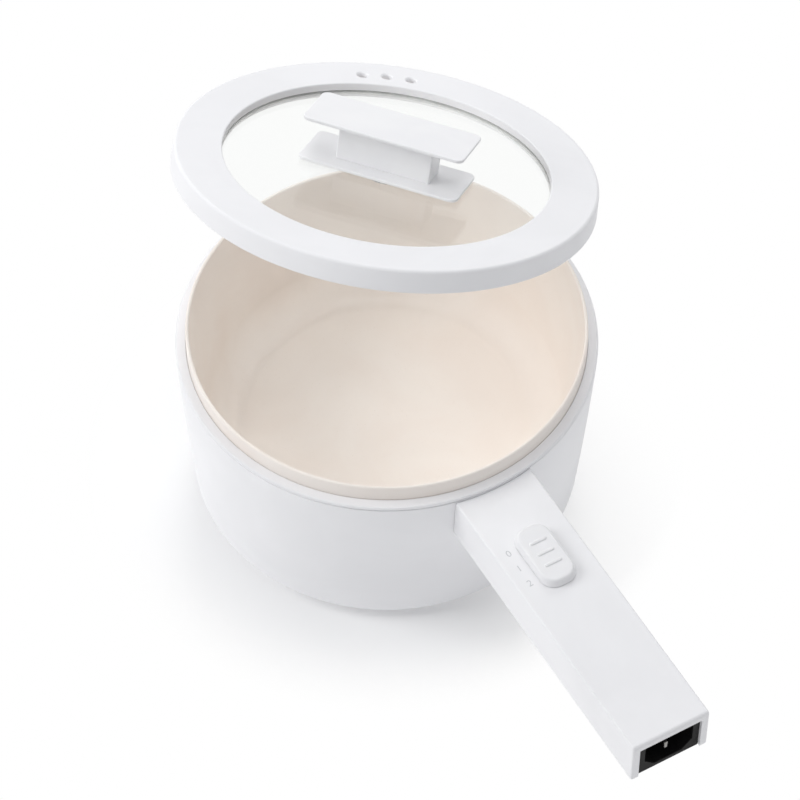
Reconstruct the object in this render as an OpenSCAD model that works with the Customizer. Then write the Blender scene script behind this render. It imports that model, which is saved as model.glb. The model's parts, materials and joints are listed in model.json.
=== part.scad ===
// Electric saucepan: a tapered white shell with a ceramic coated pot, a straight
// handle that carries a three position slide switch and a mains inlet, and a
// loose lid of domed glass in a moulded ring, drawn raised and tilted.
// The origin is the middle of the base at the height of the table, X runs
// along the handle and Z points up.

/* [Shell] */
// Outer radius of the shell at its top edge
shell_r = 98.2; // [92:0.1:106]
// How much narrower the shell is just above its bottom corner
shell_taper = 6; // [3:0.1:9]
// Rounding of the bottom corner
shell_corner_r = 9.5; // [5:0.1:13]
// How far the wall bows out half way up
shell_bow = 0.4; // [0:0.05:1.5]
// Height of the shell
shell_h = 94.7; // [90:0.1:104]
// Wall of the shell
shell_wall = 2.2; // [1.8:0.1:2.8]
// Height of the inner flange that carries the pot
flange_t = 2.2; // [1.6:0.1:3]
// Depth of that flange below the shell's top edge
flange_drop = 1.9; // [1.7:0.1:2.4]

/* [Collar] */
// Height of the thin line between shell and collar
groove_h = 0.5; // [0.3:0.1:1]
// Height of the collar above the line
collar_h = 1.8; // [1.4:0.1:4]
// Rounding of the collar's top edge
collar_round = 1.2; // [0.5:0.1:1.3]
// Clearance between the collar and the pot
collar_fit = 0.3; // [0.2:0.05:0.6]
// Width of the rim seal
seal_w = 1.9; // [1.2:0.1:2]

/* [Inner pot] */
// How much narrower the pot is inside where its wall meets the corner
pot_taper = 7.6; // [5:0.1:12]
// Rounding between wall and floor inside the pot
pot_corner_r = 18; // [8:0.5:26]
// Wall of the pot
pot_wall = 1.7; // [1.4:0.1:2.2]
// Thickness of the pot's floor
pot_floor_t = 3; // [2:0.1:4]
// How far the rim stands above the collar
rim_stand = 8.6; // [5:0.1:9]
// Width of the bead that the pot hangs by
bead_w = 2.2; // [1.6:0.1:2.3]
// Height of that bead
bead_h = 1.5; // [1:0.1:1.6]
// Clearance between the bead and the shell
bead_fit = 0.5; // [0.3:0.1:1]

/* [Heater] */
// How far the heater plate's edge lies inside the pot's corner
plate_margin = 22; // [20:0.5:30]
// Thickness of the heater plate
plate_t = 3; // [2:0.1:4]
// Distance from the heating tube's middle line to the heater plate's edge
tube_margin = 12; // [9:0.5:18]
// Radius of the heating tube
tube_r = 3.3; // [2.5:0.1:4]
// Angle that the heating tube covers
tube_turn = 300; // [240:5:320]
// Radius of the tube's cold ends
cold_end_r = 1.6; // [1:0.1:2]
// Radius of a terminal insulator
insulator_r = 3.4; // [3:0.1:5]
// Radius of the thermostat
thermostat_r = 8.5; // [6:0.1:12]
// Height of the thermostat
thermostat_h = 7; // [4:0.1:9]
// Radius of the thermostat's flange
thermostat_flange_r = 12; // [9:0.1:14]
// Thickness of that flange
thermostat_flange_t = 1; // [0.8:0.1:2]
// Radius of the thermal fuse
fuse_r = 2; // [1.5:0.1:2.5]
// Length of the thermal fuse
fuse_l = 15; // [10:0.5:24]
// Distance of the fuse from the middle
fuse_y = 22; // [18:0.5:26]
// How far the heat shield reaches past the heater plate
shield_margin = 8; // [2:0.5:12]
// Thickness of the heat shield
shield_t = 0.8; // [0.6:0.1:1.5]
// Height of the shield's turned up edge
shield_edge_h = 4; // [2:0.1:6]
// Space between heater plate and heat shield
shield_gap = 11; // [9:0.1:12]
// Space between the heat shield and the screw bosses under it
shield_clear = 1.5; // [1:0.1:4]
// Radius of a pot stud
stud_r = 2.5; // [2:0.1:3]
// Distance of the studs from the heater plate's edge
stud_margin = 28; // [24:0.5:32]
// Radius of the spacer tube round a stud
spacer_r = 4.5; // [4:0.1:6]
// Height of a shield nut
nut_h = 3.2; // [2.4:0.1:4]
// Width of a shield nut across its flats
nut_w = 8; // [7:0.1:10]

/* [Base] */
// Height of the shell's underside above the table
foot_stand = 2; // [1:0.1:4]
// Distance from the base cover to the start of the shell's bottom corner
cover_margin = 2.9; // [2.6:0.1:8]
// Thickness of the base cover
cover_t = 3; // [2.6:0.1:4]
// Width of the ledge that the cover screws to
ledge_w = 15.8; // [14:0.1:20]
// Thickness of that ledge
ledge_t = 2.2; // [1.6:0.1:3]
// Radius of a screw boss on the ledge
base_boss_r = 4; // [3.2:0.1:5]
// Height of a screw boss on the ledge
base_boss_h = 8; // [6:0.1:12]
// Distance of the base screws from the cover's edge
base_screw_margin = 9.8; // [6:0.1:11]
// Thread radius of a base screw
base_screw_r = 1.5; // [1.2:0.1:2]
// Head radius of a base screw
base_head_r = 3.2; // [2.8:0.1:4]
// Head height of a base screw
base_head_h = 1.6; // [1.2:0.1:2]
// Length of a base screw under its head
base_screw_l = 9; // [6:0.1:11]
// Radius of a rubber foot
foot_r = 7; // [5:0.1:8]
// Distance of the feet from the cover's edge
foot_margin = 24.8; // [22:0.1:34]
// Depth of a foot's seat in the base cover
foot_seat_h = 1; // [0.6:0.1:1.5]

/* [Handle] */
// Length of the handle beyond the shell's top edge
handle_l = 149.8; // [140:0.1:170]
// Wall of the handle beside the inlet
inlet_side_t = 4; // [3:0.1:7]
// Wall of the handle above the inlet
inlet_roof_t = 4.1; // [3.2:0.1:6]
// How far the handle's top lies below the shell's top edge
handle_drop = 0.5; // [0:0.1:2]
// Rounding along the handle's long edges
handle_round = 1; // [0.4:0.1:2]
// Side walls of the handle
handle_side_t = 3.8; // [3.4:0.1:4.2]
// Top wall of the handle
handle_top_t = 3; // [2.4:0.1:3.6]
// Wall of the handle against the shell
handle_root_t = 6; // [4:0.1:8]
// Thickness of the handle's bottom plate
bottom_t = 1.2; // [1:0.1:1.5]
// Clearance round the bottom plate
bottom_fit = 0.15; // [0.1:0.05:0.3]
// Clearance between handle and shell
root_fit = 0.2; // [0.1:0.05:0.3]
// Radius of the bosses inside the handle
handle_boss_r = 3; // [2.6:0.1:3.4]
// Thread radius of the screws in the bottom plate
plate_screw_r = 1.2; // [1:0.1:1.4]
// Head radius of the screws in the bottom plate
plate_head_r = 2.4; // [2:0.1:2.6]
// Head height of the screws in the bottom plate
plate_head_h = 1; // [0.8:0.1:1.1]
// Length of those screws under their heads
plate_screw_l = 7; // [5:0.5:12]
// Distance of the inner pair of those screws from the handle's root wall
plate_screw_near = 9.8; // [7:0.1:12]
// Distance of the outer pair of those screws from the handle's end
plate_screw_far = 42; // [38:0.5:54]
// Thickness of the handle bracket
bracket_t = 1.2; // [1:0.1:1.6]
// Width of the handle bracket
bracket_w = 30; // [28:0.5:34]
// Height of the handle bracket
bracket_h = 15; // [12:0.5:17]
// Distance between the two handle screws
handle_screw_gap = 20; // [18:0.5:22]
// Thread radius of a handle screw
handle_screw_r = 2; // [1.6:0.1:2.2]
// Head radius of a handle screw
handle_head_r = 3.6; // [3:0.1:4]
// Head height of a handle screw
handle_head_h = 1.4; // [1:0.1:1.6]
// Length of a handle screw under its head
handle_screw_l = 9; // [8:0.1:10]
// Width of the passage for the leads
passage_w = 12; // [10:0.1:13]
// Height of the passage for the leads
passage_h = 4; // [3.4:0.1:5]

/* [Slide switch] */
// Distance from the shell's top edge to the button in its middle position
button_reach = 43.6; // [38:0.1:48]
// Length of the button along the handle
button_l = 34.5; // [30:0.1:36]
// Width of the button
button_w = 18; // [15:0.1:22]
// Height of the button above the handle
button_h = 4; // [3:0.1:6]
// Rounding of the button's corners seen from above
button_round = 7.2; // [4:0.1:8.5]
// How far the button's sides lean in
button_bevel = 1.6; // [0.5:0.1:2.5]
// Gap between button and handle
button_fit = 0.3; // [0.2:0.05:0.5]
// Travel from one position to the next
switch_travel = 9.2; // [7:0.1:10]
// Length of a rib on the button
rib_l = 8.5; // [6:0.1:11]
// Width of a rib on the button
rib_w = 1.2; // [0.8:0.1:2]
// Height of a rib on the button
rib_h = 0.6; // [0.3:0.1:1.2]
// Distance between the ribs on the button
rib_pitch = 6.6; // [4:0.1:8]
// Length of the stem under the button
stem_l = 7; // [5:0.1:8]
// Width of the stem under the button
stem_w = 4.4; // [3:0.1:5]
// Clearance round the stem
stem_fit = 0.5; // [0.3:0.05:0.8]
// Thickness of the shutter that covers the slot
shutter_t = 0.9; // [0.7:0.1:1.2]
// Width of the shutter
shutter_w = 11; // [9:0.1:12]
// Clearance above and below the shutter
shutter_fit = 0.3; // [0.2:0.05:0.4]
// Height of the switch housing
switch_h = 10; // [9:0.1:11]
// Width of the switch housing
switch_w = 13; // [11:0.1:14]
// Wall of the switch housing
switch_wall = 1.6; // [1.2:0.1:2]
// Width across both ears of the switch housing
switch_ear_w = 27; // [26:0.1:29]
// Length of an ear along the handle
switch_ear_l = 9; // [7:0.1:12]
// Thickness of an ear
switch_ear_t = 2; // [1.5:0.1:2.5]
// Distance between the two switch screws
switch_screw_gap = 20.6; // [20:0.1:22]
// Thickness of a switch contact
contact_t = 0.8; // [0.6:0.1:1.2]
// Length of a switch contact along the handle
contact_l = 6; // [4:0.1:6.5]
// Thickness of the wiper
wiper_t = 1; // [0.6:0.1:1.4]
// Gap between wiper and contacts
wiper_gap = 0.3; // [0.2:0.05:0.5]

/* [Mains inlet] */
// How far the inlet's flange stands out beside its body
inlet_lip = 1.9; // [1.5:0.1:2.4]
// Wall of the inlet above and below the socket
inlet_wall_t = 1.3; // [1.1:0.1:1.6]
// Thickness of the inlet's flange
inlet_flange_t = 2; // [1.5:0.1:3]
// How far the flange lies inside the handle's end
inlet_inset = 1.2; // [0.5:0.1:3]
// Clearance round the flange
inlet_fit = 0.15; // [0.1:0.05:0.3]
// Wall of the inlet beside the socket
socket_wall = 1.6; // [1.2:0.1:2]
// Depth of the inlet's body behind the flange
inlet_body_l = 17; // [16:0.1:20]
// Width of the socket
socket_w = 24.4; // [24:0.1:25]
// Height of the socket
socket_h = 16.4; // [16:0.1:16.8]
// Depth of the socket
socket_d = 16; // [15:0.1:17]
// Size of the socket's two cut corners
socket_cut = 5.2; // [4:0.1:6]
// Width of a pin
pin_w = 2; // [1.8:0.1:2.2]
// Height of a pin
pin_h = 4; // [3.8:0.1:4.2]
// How far the live and neutral pins' tips lie inside the flange's face
pin_inset = 5.5; // [3:0.1:7]
// How much farther out the earth pin reaches, so that it meets first
earth_lead = 3.5; // [1:0.1:5]
// Distance between the live and neutral pins
pin_pitch = 14; // [13.8:0.1:14.2]
// Distance of the earth pin from their line
earth_offset = 4; // [3.8:0.1:4.2]
// Length of the tabs behind the inlet
tab_l = 8; // [6:0.1:9]
// Thickness of the tabs behind the inlet
tab_t = 0.8; // [0.7:0.1:1.2]

/* [Leads] */
// Radius of a lead
lead_r = 1.2; // [0.9:0.05:1.3]
// Distance between the leads where they pass the shell
lead_pitch = 3; // [2.8:0.1:3.2]

/* [Lid] */
// How far the lid ring's top lies inside the shell's edge
lid_inset = 1.7; // [1:0.1:2.3]
// How far the skirt's lower edge stands out beyond that
lid_flare = 0.8; // [0:0.1:1]
// Gap between the lid ring's top and the pot's rim when the lid is on
rim_gap = 0.8; // [0.6:0.1:3]
// Rounding of the ring's outer top edge
lid_round = 1.6; // [0.8:0.1:2]
// Clearance between the skirt and the pot's rim
skirt_fit = 1.1; // [0.9:0.1:1.2]
// Gap between the skirt and the collar when the lid is on
seat_gap = 0.3; // [0.2:0.05:0.5]
// Thickness of the ring's top
lid_top_t = 1.9; // [1.6:0.1:2]
// Width of the ring seen from above
lid_band = 21.9; // [21.5:0.1:26]
// Depth of the glass below the ring's top at its edge
glass_drop = 3.6; // [2.8:0.1:3.8]
// Rounding of the opening's edge
window_round = 0.7; // [0.3:0.1:1.2]
// How far the glass reaches under the ring
glass_lap = 3.8; // [3:0.1:4.2]
// Thickness of the glass
glass_t = 3.6; // [3:0.1:4]
// Rise of the glass from its edge to its middle
glass_rise = 0.2; // [0.1:0.1:3]
// Clearance round the glass
glass_fit = 0.4; // [0.3:0.1:0.5]
// Wall round the glass
glass_wall = 1.3; // [1:0.1:1.4]
// Thickness of the gasket under the glass
gasket_t = 0.8; // [0.6:0.1:1]
// Thickness of the retainer under the gasket
retainer_t = 1.2; // [1:0.1:1.5]
// Wall of the inner skirt that centres the lid in the pot
centring_wall = 1.4; // [1:0.1:2]
// Clearance between that skirt and the pot
centring_fit = 1.6; // [1.2:0.1:2]
// Radius of a steam vent
vent_r = 2.4; // [1.5:0.1:2.5]
// Distance of the vents from the opening's edge
vent_margin = 8.8; // [8.4:0.1:9.4]
// Angle between two vents
vent_step = 7.9; // [6:0.1:12]

/* [Knob] */
// Length of the knob's cap
cap_l = 76.6; // [60:0.1:90]
// Width of the knob's cap
cap_w = 28.8; // [24:0.1:40]
// Thickness of the knob's cap
cap_t = 1.6; // [1.2:0.1:3]
// Length of the knob's base
knob_base_l = 76.2; // [60:0.1:90]
// Width of the knob's base
knob_base_w = 28.8; // [24:0.1:40]
// Thickness of the knob's base
knob_base_t = 1.6; // [1.2:0.1:3]
// Length of the post between base and cap
post_l = 45; // [30:0.5:50]
// Width of the post
post_w = 13.4; // [11:0.1:16]
// Height of the post
post_h = 18.4; // [16:0.1:26]
// Rounding of the cap's and base's corners
knob_round = 3.5; // [1:0.1:6]
// Rounding of the post's corners
post_round = 0.8; // [0.4:0.1:3]
// Radius of the seals at the glass
knob_seal_r = 10; // [8:0.1:12]
// Thickness of the seal between knob and glass
knob_seal_t = 0.3; // [0.2:0.1:1.5]
// Thickness of the seal under the glass
lower_seal_t = 1; // [0.6:0.1:1.5]
// Radius of the hole in the glass
glass_hole_r = 4; // [3.4:0.1:5]
// Radius of the washer under the glass
washer_r = 9; // [7:0.1:10]
// Thickness of that washer
washer_t = 1; // [0.8:0.1:1.5]
// Thread radius of the knob screw
knob_screw_r = 2.5; // [2:0.1:3]
// Head radius of the knob screw
knob_head_r = 4.6; // [4:0.1:5.5]
// Head height of the knob screw
knob_head_h = 2.6; // [2:0.1:3.5]
// How far the knob screw goes into the post
knob_screw_reach = 14; // [8:0.5:16]

/* [Raised lid] */
// Angle that the raised lid is tilted by
lid_angle = 22.78; // [0:0.01:30]
// Direction of the side that stays low, seen from above
lid_direction = 131.87; // [90:0.01:180]
// Distance of the turning line from the shell's top edge
lid_line_gap = 128; // [100:0.1:180]
// Height of the turning line above the collar
lid_line_rise = -0.3; // [-20:0.1:20]
// Heading of the turning line
lid_line_heading = -137.9; // [-150:0.1:-130]
// Dip of the turning line
lid_line_dip = -4.78; // [-8:0.01:0]
// Heading of the knob on the seated lid
knob_heading = 40.3; // [0:0.1:180]
// Heading of the middle vent on the seated lid
vent_heading = 150.6; // [0:0.1:360]

/* [Hidden] */

// Faces round a full turn
round_faces = 96;
small_faces = 32;
$fn = round_faces;
// Steps along a curved outline
wall_steps = 8;
corner_steps = 6;
// Overrun of every cut
cut = 1;
// Clearance of small screws in their holes, and of leads in their passages
screw_fit = 0.1;
lead_fit = 0.15;

// Heights, from the table up
shell_top = foot_stand + shell_h;
flange_top = shell_top - flange_drop;
collar_z = shell_top + groove_h;
collar_top = collar_z + collar_h;
rim_top = collar_top + rim_stand;
ledge_z = foot_stand + cover_t + screw_fit;
shield_top = ledge_z + ledge_t + base_boss_h + shield_clear + shield_t;
plate_under = shield_top + shield_gap;
pot_under = plate_under + plate_t;
pot_floor_z = pot_under + pot_floor_t;

// Radii of shell and pot, from the outside in
shell_base_r = shell_r - shell_taper;
pot_out_r = shell_r - shell_wall - bead_fit - bead_w;
pot_hole_r = pot_out_r + collar_fit;
mouth_r = pot_out_r - pot_wall;
floor_r = mouth_r - pot_taper;
skirt_r = pot_out_r + skirt_fit;

// Radii of heater and base
plate_r = floor_r - plate_margin;
tube_ring_r = plate_r - tube_margin;
stud_ring_r = plate_r - stud_margin;
shield_r = plate_r + shield_margin;
cover_r = shell_base_r - shell_corner_r - cover_margin;
ledge_r = cover_r - ledge_w;
base_screw_ring_r = cover_r - base_screw_margin;
foot_ring_r = cover_r - foot_margin;

// Inlet, and the handle that is moulded round it
inlet_body_w = socket_w + 2 * socket_wall;
inlet_w = inlet_body_w + 2 * inlet_lip;
inlet_h = socket_h + 2 * inlet_wall_t;
handle_w = inlet_w + 2 * inlet_side_t;
handle_h = bottom_t + 2 * inlet_fit + inlet_h + inlet_roof_t;
handle_top = shell_top - handle_drop;
handle_under = handle_top - handle_h;
handle_roof = handle_top - handle_top_t;
handle_end = shell_r + handle_l;
button_x = shell_r + button_reach;

// Radii of the lid
lid_r = shell_r - lid_inset;
window_r = lid_r - lid_band;
glass_r = window_r + glass_lap;
vent_ring_r = window_r + vent_margin;
lid_reach = shell_r + lid_line_gap;
lid_h = rim_stand - seat_gap + rim_gap + lid_top_t;

function arc(cx, cy, r, a0, a1, n) =
    [for (i = [0 : n]) let (a = a0 + (a1 - a0) * i / n) [cx + r * cos(a), cy + r * sin(a)]];

// Outline of the shell's filled form, drawn inside it by the given inset
function shell_wall_r(t) = shell_base_r + (shell_r - shell_base_r) * t + shell_bow * 4 * t * (1 - t);
function shell_z(t) = foot_stand + shell_corner_r + (shell_h - shell_corner_r) * t;
function shell_fill(inset, over) = concat(
    [[0, foot_stand + inset]],
    arc(shell_base_r - shell_corner_r, foot_stand + shell_corner_r,
        shell_corner_r - inset, -90, 0, corner_steps),
    [for (i = [1 : wall_steps]) let (t = i / wall_steps) [shell_wall_r(t) - inset, shell_z(t)]],
    [[shell_r - inset, shell_top + over], [0, shell_top + over]]);

// Radius of the pot's inner wall at a height
pot_corner_z = pot_floor_z + pot_corner_r;
function pot_r_at(z) = floor_r + (mouth_r - floor_r) * (z - pot_corner_z) / (rim_top - pot_corner_z);

module ring(r_out, r_in, z, h) {
    translate([0, 0, z])
        difference() {
            cylinder(r = r_out, h = h);
            translate([0, 0, -cut]) cylinder(r = r_in, h = h + 2 * cut);
        }
}

module around(count, first_angle, r) {
    for (i = [0 : count - 1])
        rotate([0, 0, first_angle + i * 360 / count]) translate([r, 0, 0]) children();
}

// A box that is centred in X and Y and stands on z
module slab(l, w, h, x, y, z) {
    translate([x - l / 2, y - w / 2, z]) cube([l, w, h]);
}

module round_slab(l, w, h, r, steps) {
    linear_extrude(height = h)
        polygon(concat(
            arc(l / 2 - r, w / 2 - r, r, 0, 90, steps),
            arc(r - l / 2, w / 2 - r, r, 90, 180, steps),
            arc(r - l / 2, r - w / 2, r, 180, 270, steps),
            arc(l / 2 - r, r - w / 2, r, 270, 360, steps)));
}

// Shell
base_hole_r = cover_r + collar_fit;
riser_r = base_hole_r + shell_wall;
base_screw_angle = 45;
foot_angle = 0;
handle_screw_z = handle_under + handle_h / 2;

module handle_bores(r) {
    for (side = [-1, 1])
        translate([shell_base_r - 2 * shell_wall - handle_head_h - bracket_t,
            side * handle_screw_gap / 2, handle_screw_z])
            rotate([0, 90, 0])
                cylinder(r = r, h = handle_screw_l + 6 * shell_wall, $fn = small_faces);
}

module passage_cut() {
    slab(6 * handle_root_t, passage_w, passage_h, shell_r, 0, handle_screw_z - passage_h / 2);
}

module base_boss_places() {
    around(4, base_screw_angle, base_screw_ring_r) children();
}

module outer_shell() {
    color("white")
        difference() {
            union() {
                difference() {
                    rotate_extrude() polygon(shell_fill(0, 0));
                    rotate_extrude() polygon(shell_fill(shell_wall, cut));
                    translate([0, 0, foot_stand - cut]) cylinder(r = base_hole_r, h = shell_wall + 2 * cut);
                }
                ring(shell_r - shell_wall, pot_hole_r, flange_top - flange_t, flange_t);
                ring(riser_r, base_hole_r, foot_stand, cover_t + ledge_t);
                ring(riser_r, ledge_r, ledge_z, ledge_t);
                base_boss_places()
                    translate([0, 0, ledge_z]) cylinder(r = base_boss_r, h = ledge_t + base_boss_h, $fn = small_faces);
            }
            base_boss_places()
                translate([0, 0, ledge_z - cut])
                    cylinder(r = base_screw_r + screw_fit, h = base_screw_l + 2 * cut, $fn = small_faces);
            handle_bores(handle_screw_r + screw_fit);
            passage_cut();
        }
}

// Collar with its rounded top edge, over a shallow spigot that presses on the seal
spigot_h = groove_h / 2;

module top_collar() {
    color("white")
        rotate_extrude()
            polygon(concat(
                [[pot_hole_r, collar_top], [pot_hole_r, collar_z - spigot_h],
                    [pot_hole_r + seal_w, collar_z - spigot_h], [pot_hole_r + seal_w, collar_z],
                    [shell_r, collar_z]],
                arc(shell_r - collar_round, collar_top - collar_round, collar_round, 0, 90, corner_steps)));
}

module rim_seal() {
    color("gainsboro")
        ring(pot_hole_r + seal_w, pot_out_r, flange_top + bead_h, collar_z - spigot_h - flange_top - bead_h);
}

// Pot: wall, rounded corner and floor as one line, with the rim's edge rounded
rim_round = pot_wall / 2;
bead_z = flange_top;

module inner_pot() {
    color("antiquewhite")
        rotate_extrude()
            polygon(concat(
                [[0, pot_under]],
                arc(floor_r - pot_corner_r, pot_under + pot_corner_r + pot_wall, pot_corner_r + pot_wall,
                    -90, 0, corner_steps),
                [[pot_r_at(bead_z) + pot_wall, bead_z], [pot_out_r + bead_w, bead_z],
                    [pot_out_r + bead_w, bead_z + bead_h], [pot_out_r, bead_z + bead_h]],
                arc(mouth_r + rim_round, rim_top - rim_round, rim_round, 0, 180, corner_steps),
                [for (p = arc(floor_r - pot_corner_r, pot_corner_z, pot_corner_r, 0, -90, corner_steps)) p],
                [[0, pot_floor_z]]));
}

// Heater under the pot's floor
stud_angle = 90;
element_z = plate_under - tube_r;
tube_start = (360 - tube_turn) / 2;

module stud_places() {
    around(3, stud_angle, stud_ring_r) children();
}

module heater_plate() {
    color("silver")
        difference() {
            translate([0, 0, plate_under]) cylinder(r = plate_r, h = plate_t);
            stud_places()
                translate([0, 0, plate_under - cut])
                    cylinder(r = stud_r + screw_fit, h = plate_t + 2 * cut, $fn = small_faces);
        }
}

// The cold ends leave the tube just inside its two ends
cold_end_turn = tube_start + 2 * asin(cold_end_r / tube_ring_r);

module element_ends() {
    for (turn = [-1, 1])
        rotate([0, 0, turn * cold_end_turn]) translate([tube_ring_r, 0, 0]) children();
}

cold_end_l = shield_gap + shield_edge_h / 2;

module heating_element() {
    color("dimgray")
        union() {
            rotate([0, 0, tube_start])
                translate([0, 0, element_z])
                    rotate_extrude(angle = tube_turn)
                        translate([tube_ring_r, 0]) circle(r = tube_r, $fn = small_faces);
            element_ends()
                translate([0, 0, element_z - cold_end_l])
                    cylinder(r = cold_end_r, h = cold_end_l, $fn = small_faces);
        }
}

insulator_h = shield_gap - 2 * tube_r - shield_t;

module terminal_insulators() {
    color("ivory")
        difference() {
            element_ends()
                translate([0, 0, shield_top]) cylinder(r = insulator_r, h = insulator_h, $fn = small_faces);
            element_ends()
                translate([0, 0, shield_top - cut])
                    cylinder(r = cold_end_r + screw_fit, h = insulator_h + 2 * cut, $fn = small_faces);
        }
}

module thermostat() {
    color("dimgray")
        union() {
            translate([0, 0, plate_under - thermostat_flange_t])
                cylinder(r = thermostat_flange_r, h = thermostat_flange_t, $fn = small_faces);
            translate([0, 0, plate_under - thermostat_h])
                cylinder(r = thermostat_r, h = thermostat_h, $fn = small_faces);
        }
}

module thermal_fuse() {
    color("white")
        translate([-fuse_l / 2, -fuse_y, plate_under - fuse_r - screw_fit])
            rotate([0, 90, 0]) cylinder(r = fuse_r, h = fuse_l, $fn = small_faces);
}

stud_l = plate_t + shield_gap + shield_t + nut_h + thermostat_flange_t;

module pot_studs() {
    color("silver")
        stud_places()
            translate([0, 0, pot_under - stud_l]) cylinder(r = stud_r, h = stud_l, $fn = small_faces);
}

module shield_spacers() {
    color("silver")
        difference() {
            stud_places()
                translate([0, 0, shield_top]) cylinder(r = spacer_r, h = shield_gap, $fn = small_faces);
            stud_places()
                translate([0, 0, shield_top - cut])
                    cylinder(r = stud_r + screw_fit, h = shield_gap + 2 * cut, $fn = small_faces);
        }
}

module heat_shield() {
    color("silver")
        difference() {
            union() {
                translate([0, 0, shield_top - shield_t]) cylinder(r = shield_r, h = shield_t);
                ring(shield_r, shield_r - shield_t, shield_top - shield_t, shield_edge_h);
            }
            stud_places()
                translate([0, 0, shield_top - shield_t - cut])
                    cylinder(r = stud_r + screw_fit, h = shield_t + 2 * cut, $fn = small_faces);
            element_ends()
                translate([0, 0, shield_top - shield_t - cut])
                    cylinder(r = cold_end_r + screw_fit, h = shield_t + 2 * cut, $fn = small_faces);
        }
}

module shield_nuts() {
    color("silver")
        difference() {
            stud_places()
                translate([0, 0, shield_top - shield_t - nut_h])
                    cylinder(r = nut_w / 2 / cos(30), h = nut_h, $fn = 6);
            stud_places()
                translate([0, 0, shield_top - shield_t - nut_h - cut])
                    cylinder(r = stud_r + screw_fit, h = nut_h + 2 * cut, $fn = small_faces);
        }
}

// Base
head_seat_h = base_head_h + screw_fit;

module foot_places() {
    around(4, foot_angle, foot_ring_r) children();
}

module base_cover() {
    color("white")
        difference() {
            translate([0, 0, foot_stand]) cylinder(r = cover_r, h = cover_t);
            base_boss_places()
                translate([0, 0, foot_stand - cut])
                    cylinder(r = base_head_r + screw_fit, h = head_seat_h + cut, $fn = small_faces);
            base_boss_places()
                translate([0, 0, foot_stand - cut])
                    cylinder(r = base_screw_r + screw_fit, h = cover_t + 2 * cut, $fn = small_faces);
            foot_places()
                translate([0, 0, foot_stand - cut])
                    cylinder(r = foot_r + screw_fit, h = foot_seat_h + cut, $fn = small_faces);
        }
}

module base_screws() {
    color("silver")
        base_boss_places()
            union() {
                translate([0, 0, foot_stand + screw_fit])
                    cylinder(r = base_head_r, h = base_head_h, $fn = small_faces);
                translate([0, 0, foot_stand + screw_fit])
                    cylinder(r = base_screw_r, h = base_head_h + base_screw_l, $fn = small_faces);
            }
}

module rubber_feet() {
    color("dimgray")
        foot_places()
            cylinder(r = foot_r, h = foot_stand + foot_seat_h, $fn = small_faces);
}

// Handle: a long moulded box that is open underneath and hugs the shell
handle_in = shell_base_r;
cavity_w = handle_w - 2 * handle_side_t;
cavity_x = shell_r + handle_root_t;
inlet_face = handle_end - inlet_inset;
inlet_back = inlet_face - inlet_flange_t;
end_wall_t = inlet_inset + inlet_flange_t + handle_side_t / 2;
window_z = handle_under + bottom_t + inlet_fit;
slot_l = stem_l + 2 * switch_travel + 2 * stem_fit;
slot_w = stem_w + 2 * stem_fit;
rail_w = (cavity_w - shutter_w) / 4;
shutter_l = slot_l + 2 * switch_travel + 2 * shutter_fit;
shutter_z = handle_roof - shutter_fit - shutter_t;
switch_top = shutter_z - shutter_fit;
switch_z = switch_top - switch_h;
ear_z = switch_top - 2 * switch_ear_t;
plate_screw_y = cavity_w / 2 - handle_boss_r;
boss_foot = handle_under + bottom_t;

module handle_profile() {
    rotate([90, 0, 90])
        linear_extrude(height = handle_end - handle_in)
            polygon(concat(
                arc(handle_w / 2 - handle_round, handle_top - handle_round, handle_round, 0, 90, corner_steps),
                arc(handle_round - handle_w / 2, handle_top - handle_round, handle_round, 90, 180, corner_steps),
                [[-handle_w / 2, handle_under], [handle_w / 2, handle_under]]));
}

module plate_screw_places() {
    for (x = [cavity_x + plate_screw_near, handle_end - plate_screw_far])
        for (side = [-1, 1])
            translate([x, side * plate_screw_y, 0]) children();
}

module switch_screw_places() {
    for (side = [-1, 1])
        translate([button_x, side * switch_screw_gap / 2, 0]) children();
}

module handle_cover() {
    color("white")
        difference() {
            union() {
                difference() {
                    translate([handle_in, 0, 0]) handle_profile();
                    rotate_extrude() polygon(shell_fill(-root_fit, cut));
                    translate([cavity_x, -cavity_w / 2, handle_under - cut])
                        cube([handle_end - end_wall_t - cavity_x, cavity_w, handle_h - handle_top_t + cut]);
                    translate([cavity_x, -cavity_w / 2, handle_under - cut])
                        cube([handle_end - cavity_x + cut, cavity_w, bottom_t + cut]);
                }
                plate_screw_places()
                    translate([0, 0, boss_foot])
                        cylinder(r = handle_boss_r, h = handle_roof - boss_foot, $fn = small_faces);
                switch_screw_places()
                    translate([0, 0, ear_z + switch_ear_t])
                        cylinder(r = handle_boss_r, h = handle_roof - ear_z - switch_ear_t, $fn = small_faces);
                for (side = [-1, 1])
                    slab(shutter_l, rail_w, handle_roof - switch_top, button_x,
                        side * (shutter_w / 2 + shutter_fit + rail_w / 2), switch_top);
            }
            translate([0, 0, window_z - inlet_fit])
                slab(2 * (handle_end - inlet_back), inlet_w + 2 * inlet_fit, inlet_h + 2 * inlet_fit,
                    handle_end, 0, 0);
            translate([0, 0, window_z - inlet_fit])
                slab(4 * end_wall_t, inlet_body_w + 2 * inlet_fit, inlet_h + 2 * inlet_fit,
                    handle_end, 0, 0);
            translate([0, 0, handle_roof - cut])
                translate([button_x, 0, 0]) round_slab(slot_l, slot_w, handle_top_t + 2 * cut, stem_fit, corner_steps);
            plate_screw_places()
                translate([0, 0, boss_foot - cut])
                    cylinder(r = plate_screw_r + screw_fit, h = plate_screw_l + 2 * cut, $fn = small_faces);
            switch_screw_places()
                translate([0, 0, ear_z])
                    cylinder(r = plate_screw_r + screw_fit, h = handle_roof - ear_z - cut, $fn = small_faces);
            handle_bores(handle_screw_r + screw_fit);
            passage_cut();
        }
}

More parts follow.
